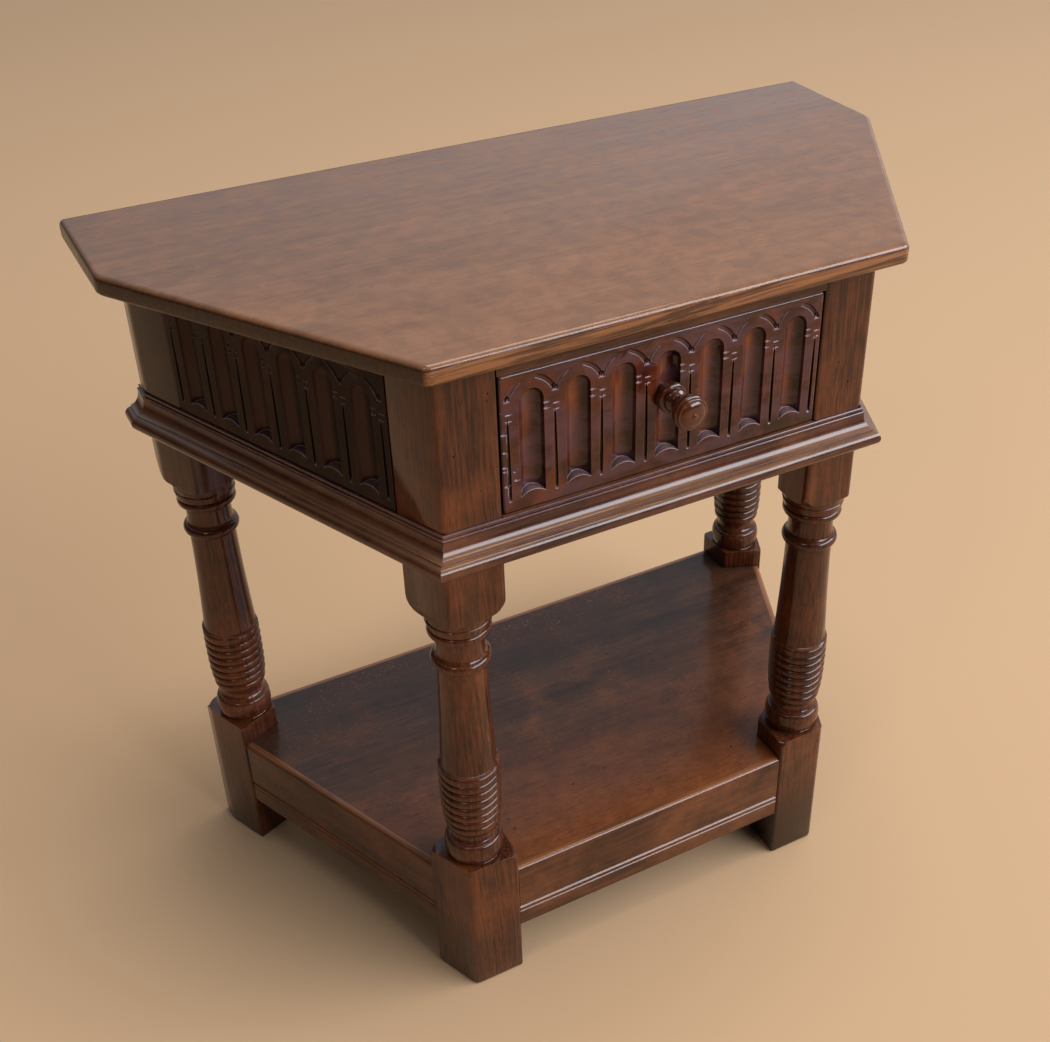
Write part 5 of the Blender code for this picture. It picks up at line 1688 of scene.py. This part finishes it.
@dataclass
class LowerRails:
    """Rails round the shelf, with a rounded nose and two fine grooves."""

    height: float = 0.0805
    thickness: float = 0.022
    setback: float = 0.0015
    nose: float = 0.0050
    lip: float = 0.0075
    shelf_thickness: float = 0.015
    foot_arris: float = 0.0008
    groove_rise: float = 0.0225
    groove_pitch: float = 0.0062
    groove_shares: tuple[float, float] = (0.55, 1.0)

    def section(self) -> list[Vector]:
        """Outline as (inward, height): grooved face, nose, lip and the rebate for the shelf."""
        bottom = PLAN.shelf_level - self.height
        rebate = PLAN.shelf_level - self.shelf_thickness
        points = [Vector((self.foot_arris, bottom)), Vector((0.0, bottom + self.foot_arris))]
        for hand, size in zip((-0.5, 0.5), self.groove_shares):
            level = bottom + self.groove_rise + hand * self.groove_pitch
            scaled = [(reach * size, drop * size) for reach, drop in RAIL_GROOVE]
            points += map(Vector, steps_down(level, scaled))
        points += arc_points(Vector((self.nose, PLAN.shelf_level - self.nose)), self.nose, 180.0, 90.0, 8)
        corners = ((self.lip, PLAN.shelf_level), (self.lip, rebate), (self.thickness, rebate), (self.thickness, bottom))
        return [*points, *map(Vector, corners)]

    def build(self) -> None:
        """Run the four rails between their posts."""
        for number, where in enumerate(("front", "left", "right", "back")):
            side = PLAN.sides[where]
            first, last = PLAN.span(where)
            outline = [Vector((first, point.x + self.setback, point.y)) for point in self.section()]
            rail = extrude_outline("base_rail_" + where, outline, Vector((last - first, 0.0, 0.0)))
            place(rail, side.matrix)
            smooth(rail)
            dress(rail, RAIL_OAK.make("rail_" + where, Grain.ALONG, side.heading, number + 14))
            stand_in(rail, ["lower_rail_" + where], "carcase")


# Knob, with the radius of each corner and its distance from the knob's face in millimetres
KNOB_STEPS = (
    (0.0, 0.0), (1.2, 0.1), (1.9, 0.6), (2.4, 0.9), (5.0, 0.9), (8.5, 1.6), (11.0, 2.8), (11.7, 3.6), (11.9, 4.0),
    (12.8, 3.7), (13.8, 4.2), (14.1, 5.2), (13.8, 6.2), (13.9, 6.6), (14.9, 7.0), (15.4, 8.2), (15.5, 9.8),
    (15.1, 12.0), (14.0, 14.5), (12.2, 16.8), (10.0, 18.8), (8.2, 20.4), (7.3, 22.0), (7.0, 23.8), (7.2, 25.2),
    (8.0, 26.4), (9.4, 27.6), (10.5, 28.8), (10.9, 30.0), (10.9, 31.2), (10.4, 32.2), (10.5, 32.8), (11.8, 33.2),
    (13.0, 34.0), (13.5, 35.5), (13.5, 37.2), (13.0, 38.6), (12.4, 39.2), (12.6, 39.8), (12.7, 40.8), (12.5, 41.4),
)  # fmt: skip


@dataclass
class TurnedKnob:
    """Turned knob: broad collar, narrow ring, slim neck and a cupped head."""

    rise: float = 0.626
    reach: float = 0.0420
    collar_radius: float = 0.0118
    spigot_radius: float = 0.0065
    spigot_length: float = 0.012
    steps: int = 64
    smooth_degrees: float = 50.0

    def profile(self) -> Profile:
        """Radius and distance from the drawer's face, from the face of the knob to its spigot."""
        spigot = [(self.collar_radius, PLAN.gap), (self.spigot_radius, PLAN.gap)]
        spigot += [(self.spigot_radius, -self.spigot_length), (0.0, -self.spigot_length)]
        return steps_down(self.reach, KNOB_STEPS) + spigot

    def build(self) -> None:
        """Turn the knob and let it stand for its node."""
        knob = turn_profile("turned_knob", self.profile(), self.steps)
        place(knob, Matrix.Translation((0.0, PLAN.front, self.rise)) @ Matrix.Rotation(QUARTER_TURN, 4, "X"))
        smooth(knob, self.smooth_degrees)
        dress(knob, KNOB_OAK.make("turning", Grain.ACROSS, 0.0, 20))
        stand_in(knob, ["drawer_knob"], "drawer")


# Pieces that keep their CAD solids
@dataclass
class PlainBoards:
    """Finishes of the boards whose CAD solids are shown as they are, by the start of their names."""

    finishes: tuple[tuple[OakFinish, Grain, tuple[str, ...]], ...] = (
        (SHELF_OAK, Grain.ALONG, ("shelf",)),
        (RAIL_OAK, Grain.ALONG, ("frieze_back", "drawer_rail")),
        (INNER_OAK, Grain.ALONG, ("drawer_stop", "top_block")),
        (INNER_OAK, Grain.ACROSS, ("runner", "guide", "kicker")),
        (DRAWER_OAK, Grain.ALONG, ("drawer_back", "drawer_bottom")),
        (DRAWER_OAK, Grain.ACROSS, ("drawer_side",)),
    )

    def build(self) -> None:
        """Dress every CAD node that is still shown."""
        for number, (name, node) in enumerate(sorted(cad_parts.items())):
            for finish, grain, starts in self.finishes:
                if name.startswith(starts):
                    dress(node, finish.make(name, grain, 0.0, number + 30))
                    LOG.info("%s: dressed in %s", name, finish.name)


# Studio
@dataclass(frozen=True)
class Lamp:
    """One soft lamp that faces the table: its place, its face's width and height, its watts and colour."""

    name: str
    place: Triple
    face: tuple[float, float]
    power: float
    colour: Triple

    def hang(self, aim: Vector) -> None:
        """Hang the lamp so that it faces a point."""
        data = bpy.data.lights.new(self.name, "AREA")
        data.shape = "RECTANGLE"
        data.size, data.size_y = self.face
        data.energy = self.power
        data.color = self.colour
        lamp = bpy.data.objects.new(self.name, data)
        bpy.context.scene.collection.objects.link(lamp)
        lamp.location = self.place
        lamp.rotation_euler = (Vector(self.place) - aim).to_track_quat("Z", "Y").to_euler()


@dataclass
class Studio:
    """Pale floor, soft light and the camera at the photograph's angle."""

    focus: Triple = (0.0303, -0.0009, 0.3935)
    azimuth: float = -29.28
    elevation: float = 34.51
    distance: float = 1.4397
    lens: float = 49.15
    sensor: float = 36.0
    shift: tuple[float, float] = (-0.0718, -0.0042)
    floor_half: float = 12.0
    floor_colour: Triple = (0.47, 0.298, 0.165)
    floor_roughness: float = 0.9
    bright_side: Triple = (0.60, 0.35, 0.72)
    bright_range: tuple[float, float] = (0.52, 0.92)
    pale_room: Triple = (0.66, 0.71, 0.79)
    dim_room: Triple = (0.04, 0.036, 0.032)
    aim: Triple = (0.0, 0.0, 0.4)
    lamps: tuple[Lamp, ...] = (
        Lamp("window", (5.06, -4.88, 4.62), (9.6, 3.6), 1060.0, (0.88, 0.93, 1.0)),
        Lamp("soft_room", (0.9, -0.1, 5.2), (2.3, 2.6), 115.0, (1.0, 0.93, 0.83)),
        Lamp("left_lamp", (-2.48, -1.61, 3.92), (0.7, 0.7), 13.0, (1.0, 0.93, 0.84)),
    )

    def camera(self) -> None:
        """Set the camera where the photograph was taken from."""
        azimuth, elevation = math.radians(self.azimuth), math.radians(self.elevation)
        level = math.cos(elevation)
        back = Vector((math.sin(azimuth) * level, -math.cos(azimuth) * level, math.sin(elevation)))
        right = Vector((math.cos(azimuth), math.sin(azimuth), 0.0))
        data = bpy.data.cameras.new("camera")
        data.sensor_width = self.sensor
        data.lens = self.lens
        data.shift_x, data.shift_y = self.shift
        camera = bpy.data.objects.new("camera", data)
        bpy.context.scene.collection.objects.link(camera)
        turn = Matrix((right, back.cross(right), back)).transposed().to_4x4()
        camera.matrix_world = Matrix.Translation(Vector(self.focus) + back * self.distance) @ turn
        bpy.context.scene.camera = camera

    def floor(self) -> None:
        """Lay the plain pale floor."""
        clear_selection()
        bpy.ops.mesh.primitive_plane_add(size=2 * self.floor_half, location=(0.0, 0.0, 0.0))
        floor = bpy.context.object
        floor.name = "floor"
        bench = NodeBench(bpy.data.materials.new("pale_floor"))
        inputs = {"Base Color": (*self.floor_colour, 1.0), "Roughness": self.floor_roughness}
        bench.add("OutputMaterial", {"Surface": bench.add("BsdfPrincipled", inputs).outputs[0]})
        dress(floor, bench.owner)

    def world(self) -> None:
        """Light the room softly, pale and cool at the right and the back, and show it pale to the camera."""
        world = bpy.data.worlds.new("room")
        bpy.context.scene.world = world
        bench = NodeBench(world)
        towards = bench.vector("DOT_PRODUCT", bench.add("TexCoord").outputs["Generated"], self.bright_side)["Value"]
        spread = bench.add("MapRange", {"Value": towards, "From Min": -1.0, "From Max": 1.0}).outputs["Result"]
        ramp = bench.add("ValToRGB", {"Fac": spread})
        ramp.color_ramp.interpolation = "EASE"
        for stop, place_on, colour in zip(ramp.color_ramp.elements, self.bright_range, (self.dim_room, self.pale_room)):
            stop.position = place_on
            stop.color = (*colour, 1.0)
        seen = bench.add("LightPath").outputs["Is Camera Ray"]
        background = bench.add("Background", {"Color": bench.mix(seen, ramp.outputs["Color"], self.pale_room)})
        bench.add("OutputWorld", {"Surface": background.outputs[0]})

    def build(self) -> None:
        """Set up the whole studio."""
        self.camera()
        self.floor()
        self.world()
        for lamp in self.lamps:
            lamp.hang(Vector(self.aim))
        bpy.context.scene.view_settings.view_transform = "Standard"


def main() -> None:
    """Build the pieces in order and report each."""
    logging.basicConfig(level=logging.INFO, format="%(message)s")
    work = (Studio(), TableTop(), TurnedPosts(), DrawerFace(), FriezePanels(), EdgeMoulding(), LowerRails())
    for part in (*work, TurnedKnob(), PlainBoards()):
        part.build()


if __name__ == "__main__":
    main()
